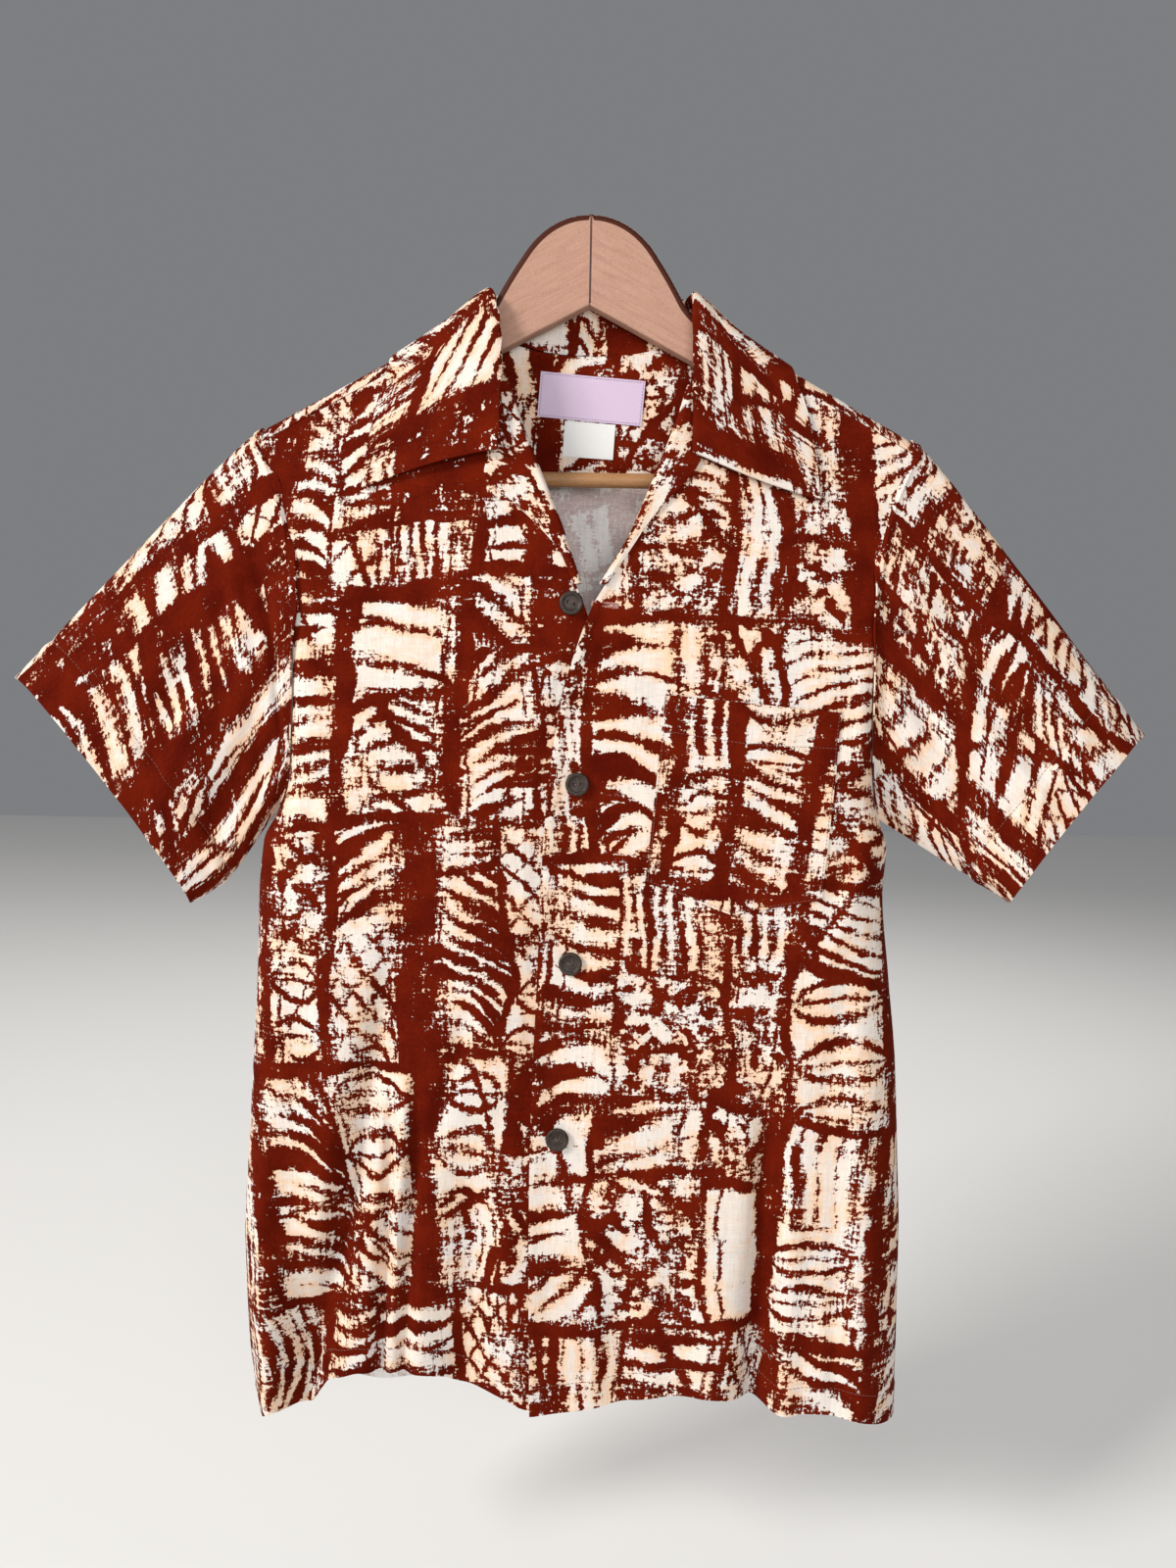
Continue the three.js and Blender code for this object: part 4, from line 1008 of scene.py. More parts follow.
def armhole(side):
    front = underGrid if side < 0 else overGrid
    grid, ridge = backSides[side]
    frontRows = levels > shirt["underarmZ"] + 0.5
    backLevels = np.linspace(shirt["hemZ"], shirt["topLevel"], len(grid))
    backRows = backLevels > shirt["underarmZ"] + 0.5
    half = ridge.shape[0] // 2
    down, up = front[frontRows][::-1], grid[backRows]
    edge = [ridge[half - 1:, -1], down[:, -1], up[:, -1], ridge[:half, -1]]
    inside = [ridge[half - 1:, -4], down[:, -4], up[:, -4], ridge[:half, -4]]
    frontCount = len(edge[0]) + len(edge[1])
    return np.concatenate(edge), np.concatenate(inside), frontCount


# The armhole, evenly spaced from the shoulder down the front and up the back
def evenLoop(side, count):
    edge, inside, frontCount = armhole(side)
    edge, inside = (np.concatenate([line, line[:1]]) for line in (edge, inside))
    run = runOf(edge)
    middle = (run[frontCount - 1] + run[frontCount]) / 2
    around = np.where(run <= middle, 0.5 * run / middle, 0.5 + 0.5 * (run - middle) / (run[-1] - middle))
    wanted = np.arange(count) / count
    return pointsAt(wanted, around, edge), pointsAt(wanted, around, inside), wanted, run[-1]


def sleeveGrid(look, shape):
    loop, inside, around, armLength = evenLoop(look["side"], shape["around"])
    angle = around * 2 * math.pi
    (topX, topZ), (endX, endZ) = look["top"], look["end"]
    centre = np.array([(topX + endX) / 2, look["y"], (topZ + endZ) / 2])
    half = np.array([(topX - endX) / 2, 0, (topZ - endZ) / 2])
    cuff = centre + half * np.cos(angle)[:, None]
    cuff[:, 1] -= look["depth"] * np.sin(angle)
    towardsBody = np.array([-half[2], 0, half[0]]) * look["side"] / np.linalg.norm(half)
    cuff += towardsBody * (look["pull"] * np.maximum(0, np.sin(angle)))[:, None]
    underarm = np.exp(-(((around - 0.5) / 0.06) ** 2))[:, None]
    away = cuff - loop
    length = np.linalg.norm(away, axis=1, keepdims=True)
    start = loop + away / length * (shape["gap"] + underarm)
    start[:, 0] += look["side"] * underarm[:, 0]
    share = np.linspace(0, 1, shape["rings"])[:, None]
    grid = start[None] + (cuff - start)[None] * share[..., None]
    capShare = np.maximum(0, np.cos(angle))[None] ** 2 * np.sin(math.pi * share**0.45)
    grid += np.array([look["side"] * 0.7, 0, 0.7]) * (look["cap"] * capShare)[..., None]
    sagShare = np.maximum(0, -np.cos(angle))[None] ** 2 * np.sin(math.pi * share**1.5)
    grid += np.array([-look["side"] * 0.68, 0, -0.73]) * (look["sag"] * sagShare)[..., None]
    inward = np.where(around < 0.5, 1, -1)[None]
    for fold in sleeveFolds:
        live = np.sin(math.pi * np.clip((share - fold["start"]) / (fold["end"] - fold["start"]), 0, 1))
        across = (around[None] - fold["around"]) / fold["width"]
        grid[..., 1] += inward * fold["depth"] * live * np.exp(-across * across)
    calm = smooth(share / 0.12)
    names = ("fromU", "fromV", "toU", "toV")
    fine = creaseDepth(look["creases"], around[None], share, names)
    fine = shape["creases"] * fine + shape["waves"] * look["waves"](around[None] * armLength, share * 190)
    towardsArm = normalsOf(grid, ring=True) * -look["side"]
    flat = np.sin(angle)[None] ** 2 * 0.85 + 0.15
    toCuff = (1 - share) * length[:, 0][None]
    hemLine = shape["hem"] - 2
    groove = shape["groove"] * np.exp(-(((toCuff - hemLine) / 1.8) ** 2))
    puff = shape["puff"] * np.exp(-(((toCuff - hemLine + 7) / 4) ** 2))
    grid += towardsArm * (fine * calm * flat + groove - puff)[..., None]
    # the seam allowance, turned in under the body's edge
    inwardNormal = np.cross(np.roll(loop, -1, 0) - np.roll(loop, 1, 0), inside - loop) * look["side"]
    inwardNormal, back = unit(inwardNormal), unit(inside - loop)
    allowance = loop + back * shape["under"] - inwardNormal * shape["inside"]
    lip = loop - inwardNormal * shape["lip"] - back * 0.2
    return np.concatenate([allowance[None], lip[None], grid])


def makeSleeve(name, look, shape):
    grid = sleeveGrid(look, shape)
    run = lengthsAlong(grid, 0)
    thickness = np.where(run[-1:] - run < shape["hem"], shirt["cloth"] * shirt["turned"], shirt["cloth"])
    across = lengthsAlong(closed(grid)[2:3], 1)[:, :-1]
    uv = np.stack([np.broadcast_to(across / 10, run.shape) * 0.86, -run / 10], axis=-1) + look["print"]
    piece = shell(name, grid, uv, thickness, ring=True, flip=look["side"] < 0)
    finishPiece(piece, "print_cloth", look["node"])
    return grid


sleeves = {name: makeSleeve(name, look, sleeveShape) for name, look in sleeveLook.items()}
print("sleeves made")


# The collar
collarTable = [
    # seam, middle of the fall and outer edge: x, distance from the ridge, height off the cloth
    {"seam": (0, 60.4, -0.8), "roll": (0, 8.2, -31), "middle": (0, 58, 6), "edge": (0, 92, 2.2), "shift": 1},
    {
        "seam": (20, 48.9, -0.8), "roll": (18, 8, -30.5), "middle": (24, 44, 6), "edge": (30, 76.4, 2.2),
        "shift": 1
    },
    {
        "seam": (38, 36.1, -0.8), "roll": (34, 7.6, -30), "middle": (44, 34, 6), "edge": (60, 60.4, 2.2),
        "shift": 1
    },
    {
        "seam": (54, 21.5, 0.1), "roll": (49, 6.4, -29), "middle": (65, 22, 6), "edge": (90, 44, 2.2),
        "shift": 1
    },
    {
        "seam": (66.5, 8.6, 1.8), "roll": (61, 2.4, -28), "middle": (82, 10, 6), "edge": (113, 22.3, 2.6),
        "shift": 0.5
    },
    {
        "seam": (69.5, 0, 1.9), "roll": (64.6, -6.5, -27), "middle": (90, 0, 5.5), "edge": (124, 0, 2.6),
        "shift": 0.5
    },
    {
        "seam": (70, -8, 1.9), "roll": (63.5, -15, -30), "middle": (93, -8, 5.5), "edge": (131.5, -12, 2.6),
        "shift": 2
    },
    {
        "seam": (69.5, -22, 2), "roll": (61, -21.5, -46), "middle": (95, -19, 6), "edge": (136, -26, 2.4),
        "shift": 4
    },
    {
        "seam": (68.5, -42, 2.2), "roll": (60, -27, -72), "middle": (97, -41, 6), "edge": (139, -42, 2.6),
        "shift": 5.5
    },
    {
        "seam": (68, -66, 2.3), "roll": (60, -32.5, -102), "middle": (98, -65, 6), "edge": (141.5, -58, 3),
        "shift": 5.5
    },
    {
        "seam": (68, -86, 2.4), "roll": (60.4, -37.5, -132), "middle": (99, -86, 6),
        "edge": (143.5, -75, 3.4), "shift": 5.5
    },
]
collarLook = {"stations": 76, "section": 46, "roll": 2.4, "tipShift": 3, "cloth": 1.5}


# A point on the shoulders, at a distance down from the ridge and standing off the cloth
def shoulderPoint(x, down, off):
    def at(px, pd):
        if abs(pd) < shirt["seamDrop"]:
            angle = math.pi / 2 * (1 - pd / shirt["seamDrop"])
            y = shirt["ridgeY"] + shirt["ridgeHalf"] * math.cos(angle)
            return np.array([px, y, ridgeZ(px) - shirt["seamDrop"] * (1 - math.sin(angle))])
        z = ridgeZ(px) - abs(pd)
        return np.array([px, float(frontY(px, z) if pd < 0 else backY(px, z)), z])

    step = 0.5
    across = at(x + step, down) - at(x - step, down)
    downhill = at(x, down + step) - at(x, down - step)
    return at(x, down) + unit(np.cross(across, downhill)) * off


def centripetal(points, count):
    first = 2 * points[0] - points[1]
    last = 2 * points[-1] - points[-2]
    p = np.concatenate([[first], points, [last]])
    samples = []
    for i in range(1, len(p) - 2):
        gaps = [max(np.linalg.norm(p[i + k] - p[i + k - 1]) ** 0.5, 1e-4) for k in range(3)]
        before, here, after = p[i] - p[i - 1], p[i + 1] - p[i], p[i + 2] - p[i + 1]
        m0 = before / gaps[0] - (p[i + 1] - p[i - 1]) / (gaps[0] + gaps[1]) + here / gaps[1]
        m1 = here / gaps[1] - (p[i + 2] - p[i]) / (gaps[1] + gaps[2]) + after / gaps[2]
        m0, m1 = m0 * gaps[1], m1 * gaps[1]
        t = np.linspace(0, 1, 24, endpoint=i == len(p) - 3)[:, None]
        samples.append(
            p[i] * (2 * t**3 - 3 * t**2 + 1) + m0 * (t**3 - 2 * t**2 + t)
            + p[i + 1] * (3 * t**2 - 2 * t**3) + m1 * (t**3 - t**2)
        )
    line = np.concatenate(samples)
    run = runOf(line)
    return pointsAt(np.linspace(0, run[-1], count), run, line)


def collarSection(cut, side, look, value):
    shift = value("shift", None, cut)
    last = len(collarTable) - 1
    tip = mix(shift, look["tipShift"], float(smooth(cut / last)))

    def onShoulder(key, extra):
        return shoulderPoint(side * value(key, 0, cut) + extra, value(key, 1, cut), value(key, 2, cut))

    seam, middle, edge = onShoulder("seam", shift), onShoulder("middle", shift), onShoulder("edge", tip)
    roll = np.array([side * value("roll", 0, cut) + shift, value("roll", 1, cut), value("roll", 2, cut)])
    toSeam, toFall = unit(seam - roll), unit(middle - roll)
    down = unit(toSeam + toFall)
    across = toFall - toSeam
    across = unit(across - down * across.dot(down))
    below = roll + down * 2 * look["roll"]
    points = np.array(
        [seam, below - across * look["roll"], roll, below + across * look["roll"], middle, edge]
    )
    return centripetal(points, look["section"])


def makeCollar(look):
    columns = {}
    for key, axis in [("shift", None)] + [
        (k, a) for k in ("seam", "roll", "middle", "edge") for a in range(3)
    ]:
        table = [
            {"i": i, "v": row[key] if axis is None else row[key][axis]} for i, row in enumerate(collarTable)
        ]
        columns[key, axis] = along(table, "i", "v")
    value = lambda key, axis, cut: float(columns[key, axis](cut))
    cuts = np.linspace(0, len(collarTable) - 1, look["stations"])
    half = {side: [collarSection(cut, side, look, value) for cut in cuts] for side in (-1, 1)}
    return np.array(half[-1][:0:-1] + half[1])


collarGrid = makeCollar(collarLook)
collarRun = lengthsAlong(collarGrid, 0)
collarDown = lengthsAlong(collarGrid, 1)
middleRun = collarRun[:, collarGrid.shape[1] // 2:collarGrid.shape[1] // 2 + 1]
collarFlat = np.stack([np.broadcast_to(middleRun, collarDown.shape), -collarDown], axis=-1)
collarUv = collarFlat / 10 + printPlaces["collar"]
collarPiece = shell("campCollar", collarGrid, collarUv, collarLook["cloth"], slots=("print", "print"))
finishPiece(collarPiece, "print_cloth", "collar")
print("collar made")


# The lapels
lapelProfile = rows(
    "out offset",
    (13, 1.9), (10, 2.05), (7, 2.2), (5, 2.45), (3, 2.6), (1.7, 2.35), (0.8, 1.6), (0.2, 0.7), (0, -0.2),
    (0.2, -1.1), (0.8, -1.9), (1.7, -2.5), (3, -2.7),
)
lapelLook = {"edgeOffset": -2, "rows": 60, "face": 12, "cloth": 1.1}


def makeLapel(name, node, side, kind, depthAt, place):
    table = lapels[kind]
    rollAt, reachAt = along(table, "z", "x"), along(table, "z", "reach")
    grid = []
    for z in np.linspace(table[0]["z"], table[-1]["z"], lapelLook["rows"]):
        x, reach = float(rollAt(z)), float(reachAt(z))
        share = np.linspace(0, 1, lapelLook["face"] + 1)[1:]
        out = np.concatenate([[row["out"] for row in lapelProfile], mix(3, reach, share)])
        sag = -2.7 + (lapelLook["edgeOffset"] + 2.7) * share
        offset = np.concatenate([[row["offset"] for row in lapelProfile], sag])
        panelX = x + side * np.maximum(out, lapelRoll)
        grid.append(np.stack([x + side * out, depthAt(panelX, z) + offset, np.full(len(out), z)], axis=-1))
    grid = np.array(grid)
    uv = np.stack([lengthsAlong(grid, 1), grid[..., 2]], axis=-1) / 10 + place
    piece = shell(name, grid, uv, lapelLook["cloth"], slots=("print", "print"), flip=side > 0)
    finishPiece(piece, "print_cloth", node)
    return grid


rightLapel = makeLapel("rightLapel", "right_lapel", -1, "under", underY, printPlaces["rightLapel"])
leftLapel = makeLapel("leftLapel", "left_lapel", 1, "over", frontY, printPlaces["leftLapel"])
print("lapels made")


# The pieces that lie on a panel
def patchGrid(look, columns, rowCount, surface):
    u, v = np.meshgrid(np.linspace(0, 1, columns + 1), np.linspace(0, 1, rowCount + 1))
    across = (u - 0.5) * look["width"]
    down = -v * (look["height"] + look.get("point", 0) * (1 - np.abs(2 * u - 1)))
    x = look["x"] + across * math.cos(look["turn"]) + down * math.sin(look["turn"])
    z = look["z"] - across * math.sin(look["turn"]) + down * math.cos(look["turn"])
    uv = np.stack([across, down], axis=-1) / 10
    return np.stack([x, surface(x, z), z], axis=-1), uv


pocketLook = {
    "x": 107, "z": -286, "width": 111, "height": 118, "point": 15, "turn": 0.085, "hem": 24,
    "columns": 60, "rows": 64, "cloth": 0.9, "down": 126,
}
labelLook = {"x": 3, "z": -76.9, "width": 68, "height": 28.5, "turn": 0.075}
tagLook = {"x": 1.6, "z": -106.2, "width": 33, "height": 22.5, "turn": 0.06}
facingLook = {"lowZ": -139, "topHalf": 58, "lowHalf": 100, "offset": 2.3}


def facingY(x, z):
    return backY(x, z) - facingLook["offset"]


def pocketY(x, z):
    return frontY(x, z) - 1.15


pocketGrid, pocketUv = patchGrid(pocketLook, pocketLook["columns"], pocketLook["rows"], pocketY)
pocket = shell(
    "chestPocket", pocketGrid, pocketUv + printPlaces["pocket"], pocketLook["cloth"],
    slots=("print", "print")
)
finishPiece(pocket, "print_cloth", "pocket")

labelGrid, labelUv = patchGrid(labelLook, 34, 14, lambda x, z: facingY(x, z) - 1.1)
label = shell("neckLabel", labelGrid, labelUv, 0.5, slots=("lilac", "lilac"))
finishPiece(label, "lilac_label", "neck_label")
tagGrid, tagUv = patchGrid(tagLook, 20, 12, lambda x, z: facingY(x, z) - 1.0)
tag = shell("careTag", tagGrid, tagUv, 0.4, slots=("white", "white"))
finishPiece(tag, "white_tag", "care_tag")


def makeFacing(look):
    u, v = np.meshgrid(np.linspace(-1, 1, 61), np.linspace(0, 1, 34))
    topX = u * look["topHalf"]
    x = mix(topX, u * look["lowHalf"], v)
    z = mix(backTop(topX) + 1.2, look["lowZ"], v)
    grid = np.stack([x, facingY(x, z), z], axis=-1)
    return grid, np.stack([x, z], axis=-1) / 10 + printPlaces["facing"]


facingGrid, facingUv = makeFacing(facingLook)
facing = shell("backFacing", facingGrid, facingUv, 0.9, slots=("print", "print"))
finishPiece(facing, "print_cloth", "back_facing")
print("pocket, facing and labels made")


# The buttons
buttonLook = {"radius": 7.4, "thick": 2.6, "hole": 0.95, "spacing": 3.6, "lift": 0.9}
buttonPlaces = rows(
    "name node x z turn",
    ("button1", "button_1", -8, -226, 0.3), ("button2", "button_2", -2.2, -338, -0.2),
    ("button3", "button_3", -4.5, -452, 0.15), ("button4", "button_4", -11, -566, 0.5),
)


def lathe(profile, sides):
    angle = np.arange(sides) / sides * 2 * math.pi
    r, h = np.array(profile).T
    ring = np.stack(
        [
            r[:, None] * np.cos(angle), np.broadcast_to(-h[:, None], (len(r), sides)),
            r[:, None] * np.sin(angle)
        ],
        axis=-1
    )
    index = np.arange(len(r) * sides).reshape(len(r), sides)
    return ring.reshape(-1, 3), quadsOf(closed(index)).tolist() + [
        index[0][::-1].tolist(), index[-1].tolist()
    ]


def buttonMesh(look):
    r, t = look["radius"], look["thick"]
    profile = [
        (r - 2.2, 0), (r - 0.9, 0.08), (r - 0.3, 0.45), (r, 1.0), (r, t - 1.0),
        (r - 0.25, t - 0.45), (r - 0.8, t - 0.08), (r - 1.4, t), (r - 1.9, t - 0.12),
        (r - 2.5, t - 0.5), (r - 3.1, t - 0.72), (r - 4.4, t - 0.8), (1.2, t - 0.82),
    ]
    vertices, faces = lathe(profile, 56)
    disc = buildMesh("buttonDisc", vertices, faces, ["coconut"], sharp=60)
    for side in (-1, 1):
        drill, drillFaces = lathe([(look["hole"], -1), (look["hole"], t + 1)], 24)
        drill[:, 0] += side * look["spacing"] / 2
        tool = buildMesh("drill", drill, drillFaces, ["coconut"])
        cut = disc.modifiers.new("hole", "BOOLEAN")
        cut.object, cut.operation, cut.solver = tool, "DIFFERENCE", "EXACT"
        with bpy.context.temp_override(object=disc, active_object=disc):
            bpy.ops.object.modifier_apply(modifier="hole")
        bpy.data.objects.remove(tool)
    mesh = disc.data
    bpy.data.objects.remove(disc)
    return mesh


buttonBody = buttonMesh(buttonLook)


# The thread through a button's holes
def threadBars(name, look):
    lines = []
    for k in range(4):
        z = (k - 1.5) * 0.32
        x = np.linspace(-look["spacing"] / 2 - 0.25, look["spacing"] / 2 + 0.25, 9)
        arch = np.sqrt(np.maximum(0, 1 - (x / (look["spacing"] / 2 + 0.25)) ** 2))
        y = -look["thick"] + 1.6 - arch * 1.25
        lines.append(np.stack([x, y, np.full(len(x), z)], axis=1))
    return tubes(name, lines, "buttonThread", 0.2)


def tubes(name, lines, material, radius, sides=6):
    vertices, faces = [], []
    for line in lines:
        way = unit(np.gradient(line, axis=0))
        ref = np.array([0, 0, 1.0]) if abs(way[0, 2]) < 0.9 else np.array([1.0, 0, 0])
        one = unit(np.cross(way, ref))
        two = np.cross(way, one)
        base = len(vertices)
        for p, a, b in zip(line, one, two):
            for k in range(sides):
                turn = 2 * math.pi * k / sides
                vertices.append(p + (a * math.cos(turn) + b * math.sin(turn)) * radius)
        for i in range(len(line) - 1):
            for k in range(sides):
                low, high = base + i * sides, base + (i + 1) * sides
                faces.append([low + k, low + (k + 1) % sides, high + (k + 1) % sides, high + k])
        faces.append([base + k for k in range(sides)][::-1])
        faces.append([base + (len(line) - 1) * sides + k for k in range(sides)])
    return buildMesh(name, np.array(vertices), faces, [material], sharp=80)


def placeButton(place):
    depthAt = underY if place["node"] == "button_1" else frontY
    x, z, step = place["x"], place["z"], 6
    slopeX = float(depthAt(x + step, z) - depthAt(x - step, z)) / (2 * step)
    slopeZ = float(depthAt(x, z + step) - depthAt(x, z - step)) / (2 * step)
    out = Vector((slopeX, -1, slopeZ)).normalized()
    turn = Vector((0, -1, 0)).rotation_difference(out).to_matrix().to_4x4()
    spin = Matrix.Rotation(place["turn"], 4, "Y")
    spot = Vector((x, float(depthAt(x, z)) - shirt["cloth"] / 2 - buttonLook["lift"], z)) * metres
    body = bpy.data.objects.new(place["name"], buttonBody.copy())
    bpy.context.scene.collection.objects.link(body)
    thread = threadBars(place["name"] + "Thread", buttonLook)
    for piece in (body, thread):
        piece.matrix_world = Matrix.Translation(spot) @ turn @ spin
    finishPiece(body, "coconut_shell", place["node"])
    finishPiece(thread, "print_cloth")


for place in buttonPlaces:
    placeButton(place)
print("buttons made:", len(buttonPlaces))


# The sewing
def lineOn(grid, normals, rowIndex, columnIndex, lift):
    r = np.clip(np.asarray(rowIndex, float), 0, grid.shape[0] - 1.001)
    c = np.clip(np.asarray(columnIndex, float), 0, grid.shape[1] - 1.001)
    r, c = np.broadcast_arrays(r, c)
    i, j = r.astype(int), c.astype(int)
    a, b = (r - i)[:, None], (c - j)[:, None]

    def at(g):
        near, far = g[i, j] * (1 - a) + g[i + 1, j] * a, g[i, j + 1] * (1 - a) + g[i + 1, j + 1] * a
        return near * (1 - b) + far * b

    return at(grid) + at(normals) * lift, at(normals)


def rowAt(levelList, z):
    return float(np.interp(z, levelList, np.arange(len(levelList))))


# Millimetres: how far the thread stands off, in from an edge, and up from a hem's edge
sewing = {"lift": 0.12, "overHem": 0.4, "inHem": 2, "pocketSide": 1.3, "pocketFoot": 1.5, "collar": 4.5}


def towardsFront(grid):
    normals = normalsOf(grid)
    return np.where(normals[..., 1:2] > 0, -normals, normals)


clothLift = shirt["cloth"] / 2 + sewing["lift"]
hemLift = clothLift + sewing["overHem"]
underNormals, overNormals = -normalsOf(underGrid), normalsOf(overGrid)
hemRow = rowAt(levels, shirt["hemZ"] + shirt["hemDepth"] - sewing["inHem"])
panelColumns = np.arange(underGrid.shape[1])
rightHem = lineOn(underGrid, underNormals, hemRow, panelColumns, hemLift)
leftHem = lineOn(overGrid, overNormals, hemRow, panelColumns, hemLift)
stitches("rightHemStitches", [rightHem], "thread")
stitches("leftHemStitches", [leftHem], "thread")

# pocket: double row at the sides and point, single row under its hem
pocketNormals = towardsFront(pocketGrid)
pocketLift = pocketLook["cloth"] / 2 + sewing["lift"]
across, down = pocketLook["columns"], pocketLook["rows"]
inset = across * sewing["pocketSide"] / pocketLook["width"]
pocketLines = [
    lineOn(pocketGrid, pocketNormals, row, column, pocketLift)
    for row, column in (
        (np.arange(0, down + 1), inset),
        (np.arange(0, down + 1), across - inset),
        (down - down * sewing["pocketFoot"] / pocketLook["down"], np.arange(0, across + 1)),
        (down * pocketLook["hem"] / pocketLook["down"], np.arange(0, across + 1)),
    )
]
stitches("pocketStitches", pocketLines, "thread", pitch=2.4, length=1.75)

# sleeve hems
for name, grid in sleeves.items():
    normals = normalsOf(grid, ring=True) * sleeveLook[name]["side"]
    run = lengthsAlong(grid, 0)
    wanted = run[-1] - sleeveShape["hem"] + sewing["inHem"]
    at = np.array([np.interp(w, run[:, k], np.arange(len(run))) for k, w in enumerate(wanted)])
    stitches(name + "Stitches", [lineOn(grid, normals, at, np.arange(grid.shape[1]), hemLift)], "thread")

# collar: one row round the fall's edge
collarNormals = normalsOf(collarGrid)
sectionCount = collarGrid.shape[1]
edgeInset = sewing["collar"] / np.maximum(collarDown[:, -1], 1) * (sectionCount - 1)
rowIds = np.arange(collarGrid.shape[0])
collarLift = collarLook["cloth"] / 2 + sewing["lift"]
collarEdge = lineOn(collarGrid, collarNormals, rowIds, sectionCount - 1 - edgeInset, collarLift)
stepIn = sewing["collar"] / np.maximum(np.linalg.norm(collarGrid[1] - collarGrid[0], axis=1).mean(), 0.1)
fallColumns = np.arange(int(sectionCount * 0.32), int(sectionCount - 1 - edgeInset[0]))
collarEnds = [
    lineOn(collarGrid, collarNormals, stepIn, fallColumns, collarLift),
    lineOn(collarGrid, collarNormals, collarGrid.shape[0] - 1 - stepIn, fallColumns, collarLift),
]
stitches("collarStitches", [collarEdge, *collarEnds], "thread", pitch=2.4, length=1.8)

# labels: a row near each edge
labelNormals = towardsFront(labelGrid)
ringRows = np.concatenate(
    [np.full(31, 0.6), np.arange(0.6, 13.4, 0.5), np.full(31, 13.4), np.arange(13.4, 0.6, -0.5)]
)
ringColumns = np.concatenate([
    np.linspace(0.6, 33.4, 31), np.full(26, 33.4), np.linspace(33.4, 0.6, 31), np.full(26, 0.6),
])
stitches(
    "labelStitches", [lineOn(labelGrid, labelNormals, ringRows, ringColumns, 0.35)], "plumThread", 1.9, 1.3,
    0.16
)


# The open buttonhole: close threads across a slit, with a bar at each end
def buttonhole(name, x, z, length, turn):
    lines = []
    for side in (-1, 1):
        for place in np.arange(-length / 2, length / 2, 0.42):
            near, far = 0.35 * side, 1.7 * side
            a = np.array([place, near]), np.array([place + 0.05, far])
            lines.append(a)
    for end in (-1, 1):
        for across in np.arange(-1.5, 1.6, 0.4):
            lines.append((np.array([end * length / 2, across]), np.array([end * (length / 2 + 1.1), across])))
    paths = []
    for first, last in lines:
        flat = first[None] + (last - first)[None] * np.linspace(0, 1, 4)[:, None]
        px = x + flat[:, 0] * math.cos(turn) - flat[:, 1] * math.sin(turn)
        pz = z + flat[:, 0] * math.sin(turn) + flat[:, 1] * math.cos(turn)
        arch = np.array([0, 0.3, 0.3, 0])
        paths.append(np.stack([px, frontY(px, pz) - shirt["cloth"] / 2 - 0.02 - arch, pz], axis=1))
    return finishPiece(tubes(name, paths, "paleThread", 0.21, 5), "print_cloth")


# A painted shadow: a thin sheet in the buttons' dark coconut finish, laid just over the cloth along the slit,
# stands in for the shade inside the open cut
def slit(name, x, z, length, turn):
    t = np.linspace(-1, 1, 13)
    half = 0.38 * np.sqrt(np.maximum(0, 1 - t**2)) + 0.02
    outline = [(t * (length / 2 - 0.4), half), ((t * (length / 2 - 0.4))[::-1], -half[::-1])]
    a = np.concatenate([part[0] for part in outline])
    b = np.concatenate([part[1] for part in outline])
    px = x + a * math.cos(turn) - b * math.sin(turn)
    pz = z + a * math.sin(turn) + b * math.cos(turn)
    front = np.stack([px, frontY(px, pz) - shirt["cloth"] / 2 - 0.06, pz], axis=1)
    rear = front + np.array([0, 0.05, 0])
    n = len(front)
    faces = [list(range(n)), list(range(2 * n - 1, n - 1, -1))]
    faces += [[i, i + n, (i + 1) % n + n, (i + 1) % n] for i in range(n)]
    return finishPiece(buildMesh(name, np.concatenate([front, rear]), faces, ["coconut"]), "print_cloth")


buttonholeLook = {"x": 13, "z": -226.6, "length": 14.5, "turn": -0.07}
buttonhole("openButtonhole", *buttonholeLook.values())
slit("buttonholeSlitShade", *buttonholeLook.values())
print("sewing made")


# The hanger
hangerLook = {
    "thick": 11, "bevel": 2.4, "lowBevel": 1.1, "split": 0.12, "seamBevel": 0.3, "rimWide": 1.3,
    "bar": 4.75, "barZ": -144.7, "clear": 2.8, "grain": 0.517,  # the slope that the grain follows
}


def bezier(points, count):
    t = np.linspace(0, 1, count, endpoint=False)[:, None]
    p = [np.array(q, float) for q in points]
    if len(p) == 3:
        return p[0] * (1 - t) ** 2 + p[1] * 2 * t * (1 - t) + p[2] * t**2
    return p[0] * (1 - t) ** 3 + p[1] * 3 * t * (1 - t) ** 2 + p[2] * 3 * t**2 * (1 - t) + p[3] * t**3


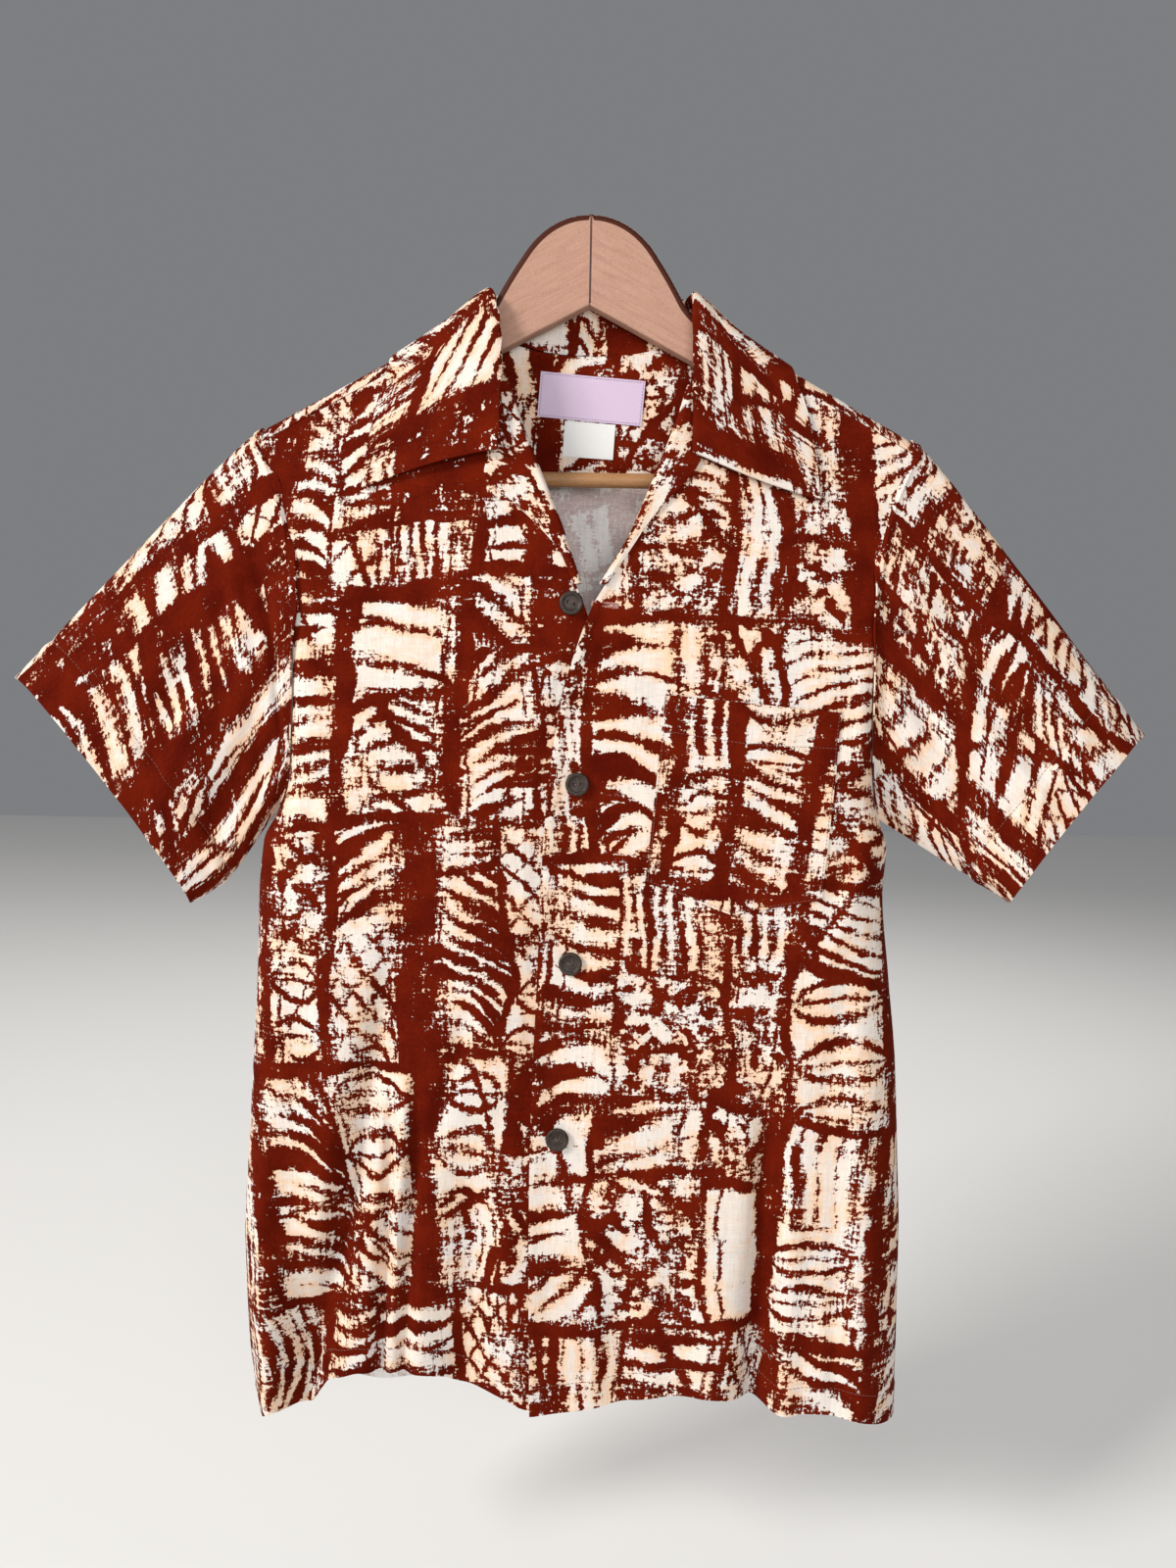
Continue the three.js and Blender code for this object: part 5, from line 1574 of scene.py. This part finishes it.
def armOutline(look):
    top = lambda x: float(ridgeZ(x)) - look["clear"]
    start = look["split"]
    pieces = [  # points, and whether the varnished edge runs along them
        (np.array([[start, 19 - 1.2 * k] for k in range(0, 46)]), 1, True),
        (np.linspace((start, -36.5), (148, -113), 60, endpoint=False), 0, False),
        (bezier([(148, -113), (172, -126), (178, -142)], 14), 0, False),
        (bezier([(178, -142), (182, -156), (194, -156)], 12), 0, False),
        (bezier([(194, -156), (206, -155), (206, -140)], 12), 1, False),
        (bezier([(206, -140), (206.5, top(199) - 5), (196, top(196))], 14), 1, False),
        (np.linspace((196, top(196)), (84, top(84)), 40, endpoint=False), 1, False),
        (bezier([(84, top(84)), (68, top(74)), (60, -35)], 14), 1, False),
        (bezier([(60, -35), (52, -20), (43, -7)], 14), 1, False),
        (bezier([(43, -7), (33, 9), (18, 19), (start, 19)], 34), 1, False),
    ]
    points = np.concatenate([p for p, _, _ in pieces])
    rim = np.concatenate([np.full(len(p), r, float) for p, r, _ in pieces])
    bevels = [
        look["seamBevel"] if seam else look["bevel"] if dark else look["lowBevel"] for _, dark,
        seam in pieces
    ]
    soft = np.concatenate([np.full(len(p), bevel) for (p, _, _), bevel in zip(pieces, bevels)])
    wide = np.concatenate([np.full(len(p), 0.15 if seam else look["rimWide"]) for p, _, seam in pieces])
    return points, rim, soft, wide


def makeArm(name, node, side, look):
    outline, rim, soft, wide = armOutline(look)
    way = unit(np.roll(outline, -1, 0) - np.roll(outline, 1, 0))
    inward = np.stack([-way[:, 1], way[:, 0]], axis=1)
    rings, marks = [], []
    steps = np.linspace(0, math.pi / 2, 6)
    # each face has two inner rings, between which the dark varnish of the edge ends
    inner = {face: [(face, 0, 1.5), (face, 0, 1)] for face in (1, -1)}
    turns = [
        *inner[1], *((1, turn, 0) for turn in steps), *((-1, turn, 0) for turn in steps[::-1]),
        *inner[-1][::-1]
    ]
    for face, turn, reach in turns:
        inset = soft * (1 - math.sin(turn)) + wide * reach
        depth = look["thick"] / 2 - soft * (1 - math.cos(turn))
        flat = outline + inward * inset[:, None]
        y = -look["thick"] / 2 + face * depth
        rings.append(np.stack([flat[:, 0] * side, y, flat[:, 1]], axis=1))
        marks.append(rim * (0 if reach > 1 else min(1, 0.8 + math.sin(turn))))
    count = len(outline)
    vertices = np.concatenate(rings)
    index = np.arange(len(vertices)).reshape(len(rings), count)
    faces = quadsOf(closed(index)).tolist() + [index[0][::-1].tolist(), index[-1].tolist()]
    if side < 0:
        faces = [face[::-1] for face in faces]
    slope = math.atan(look["grain"])
    u = vertices[:, 0] * side * math.cos(slope) - vertices[:, 2] * math.sin(slope)
    v = vertices[:, 0] * side * math.sin(slope) + vertices[:, 2] * math.cos(slope) + vertices[:, 1] * 0.4
    uv = np.stack([u / 10 + (30 if side > 0 else 0), v / 10 + (7 if side > 0 else 0)], axis=1)
    piece = buildMesh(name, vertices, faces, ["hangerWood"], None, "grain", uv, sharp=40)
    mark = piece.data.attributes.new("rim", "FLOAT", "POINT")
    mark.data.foreach_set("value", np.concatenate(marks).astype(np.float32))
    return finishPiece(piece, "hanger_wood", node)


def makeBar(look):
    lengthwise = np.linspace(-189, 189, 60)
    angle = np.arange(40) / 40 * 2 * math.pi
    ring = np.stack(np.broadcast_arrays(
        lengthwise[:, None],
        -look["thick"] / 2 + look["bar"] * np.cos(angle),
        look["barZ"] + look["bar"] * np.sin(angle),
    ), axis=-1)
    index = np.arange(ring.shape[0] * 40).reshape(-1, 40)
    faces = quadsOf(closed(index), turned=True).tolist() + [index[0].tolist(), index[-1][::-1].tolist()]
    uv = np.stack(np.broadcast_arrays(lengthwise[:, None], angle * look["bar"]), axis=-1).reshape(-1, 2) / 10
    piece = buildMesh("trouserBar", ring.reshape(-1, 3), faces, ["barWood"], None, "grain", uv, sharp=60)
    return finishPiece(piece, "bar_wood", "trouser_bar")


makeArm("hangerArmLeft", "hanger_arm_left", 1, hangerLook)
makeArm("hangerArmRight", "hanger_arm_right", -1, hangerLook)
makeBar(hangerLook)
print("hanger made")

# The cloth pieces, each with the flat size of what shows of it and its area, printed.
# The area is that of its grids, for the cuts aren't rectangles
def declareCloth(name, grids, flat=None):
    area = 0
    for grid in grids:
        one, two = grid[1:, 1:] - grid[:-1, :-1], grid[1:, :-1] - grid[:-1, 1:]
        area += np.linalg.norm(np.cross(one, two), axis=2).sum() / 2 * metres**2
    width, length = flat or (lengthsAlong(grids[0], 1).max(), lengthsAlong(grids[0], 0).max())
    flat = (width * metres, length * metres)
    area = min(area, flat[0] * flat[1])
    print(f"cut of {name}: {flat[0]:.3f} by {flat[1]:.3f} m, {area:.4f} square metres")


def backFlat():
    width = sum(lengthsAlong(grid, 1).max() for grid, ridge in backSides.values())
    return width, sum(lengthsAlong(grid, 0).max() for grid in backSides[1])


backGrids = [grid for side in backSides.values() for grid in side]
declareCloth("backPanel", backGrids, flat=backFlat())
declareCloth(
    "rightFront", [underGrid]
)
declareCloth("leftFront", [overGrid])
declareCloth(
    "rightSleeve", [closed(sleeves["rightSleeve"])],
)
declareCloth(
    "leftSleeve", [closed(sleeves["leftSleeve"])],
)
declareCloth("campCollar", [collarGrid])
declareCloth("rightLapel", [rightLapel])
declareCloth("leftLapel", [leftLapel])
declareCloth("chestPocket", [pocketGrid])
declareCloth("backFacing", [facingGrid])
declareCloth("neckLabel", [labelGrid])
declareCloth("careTag", [tagGrid])
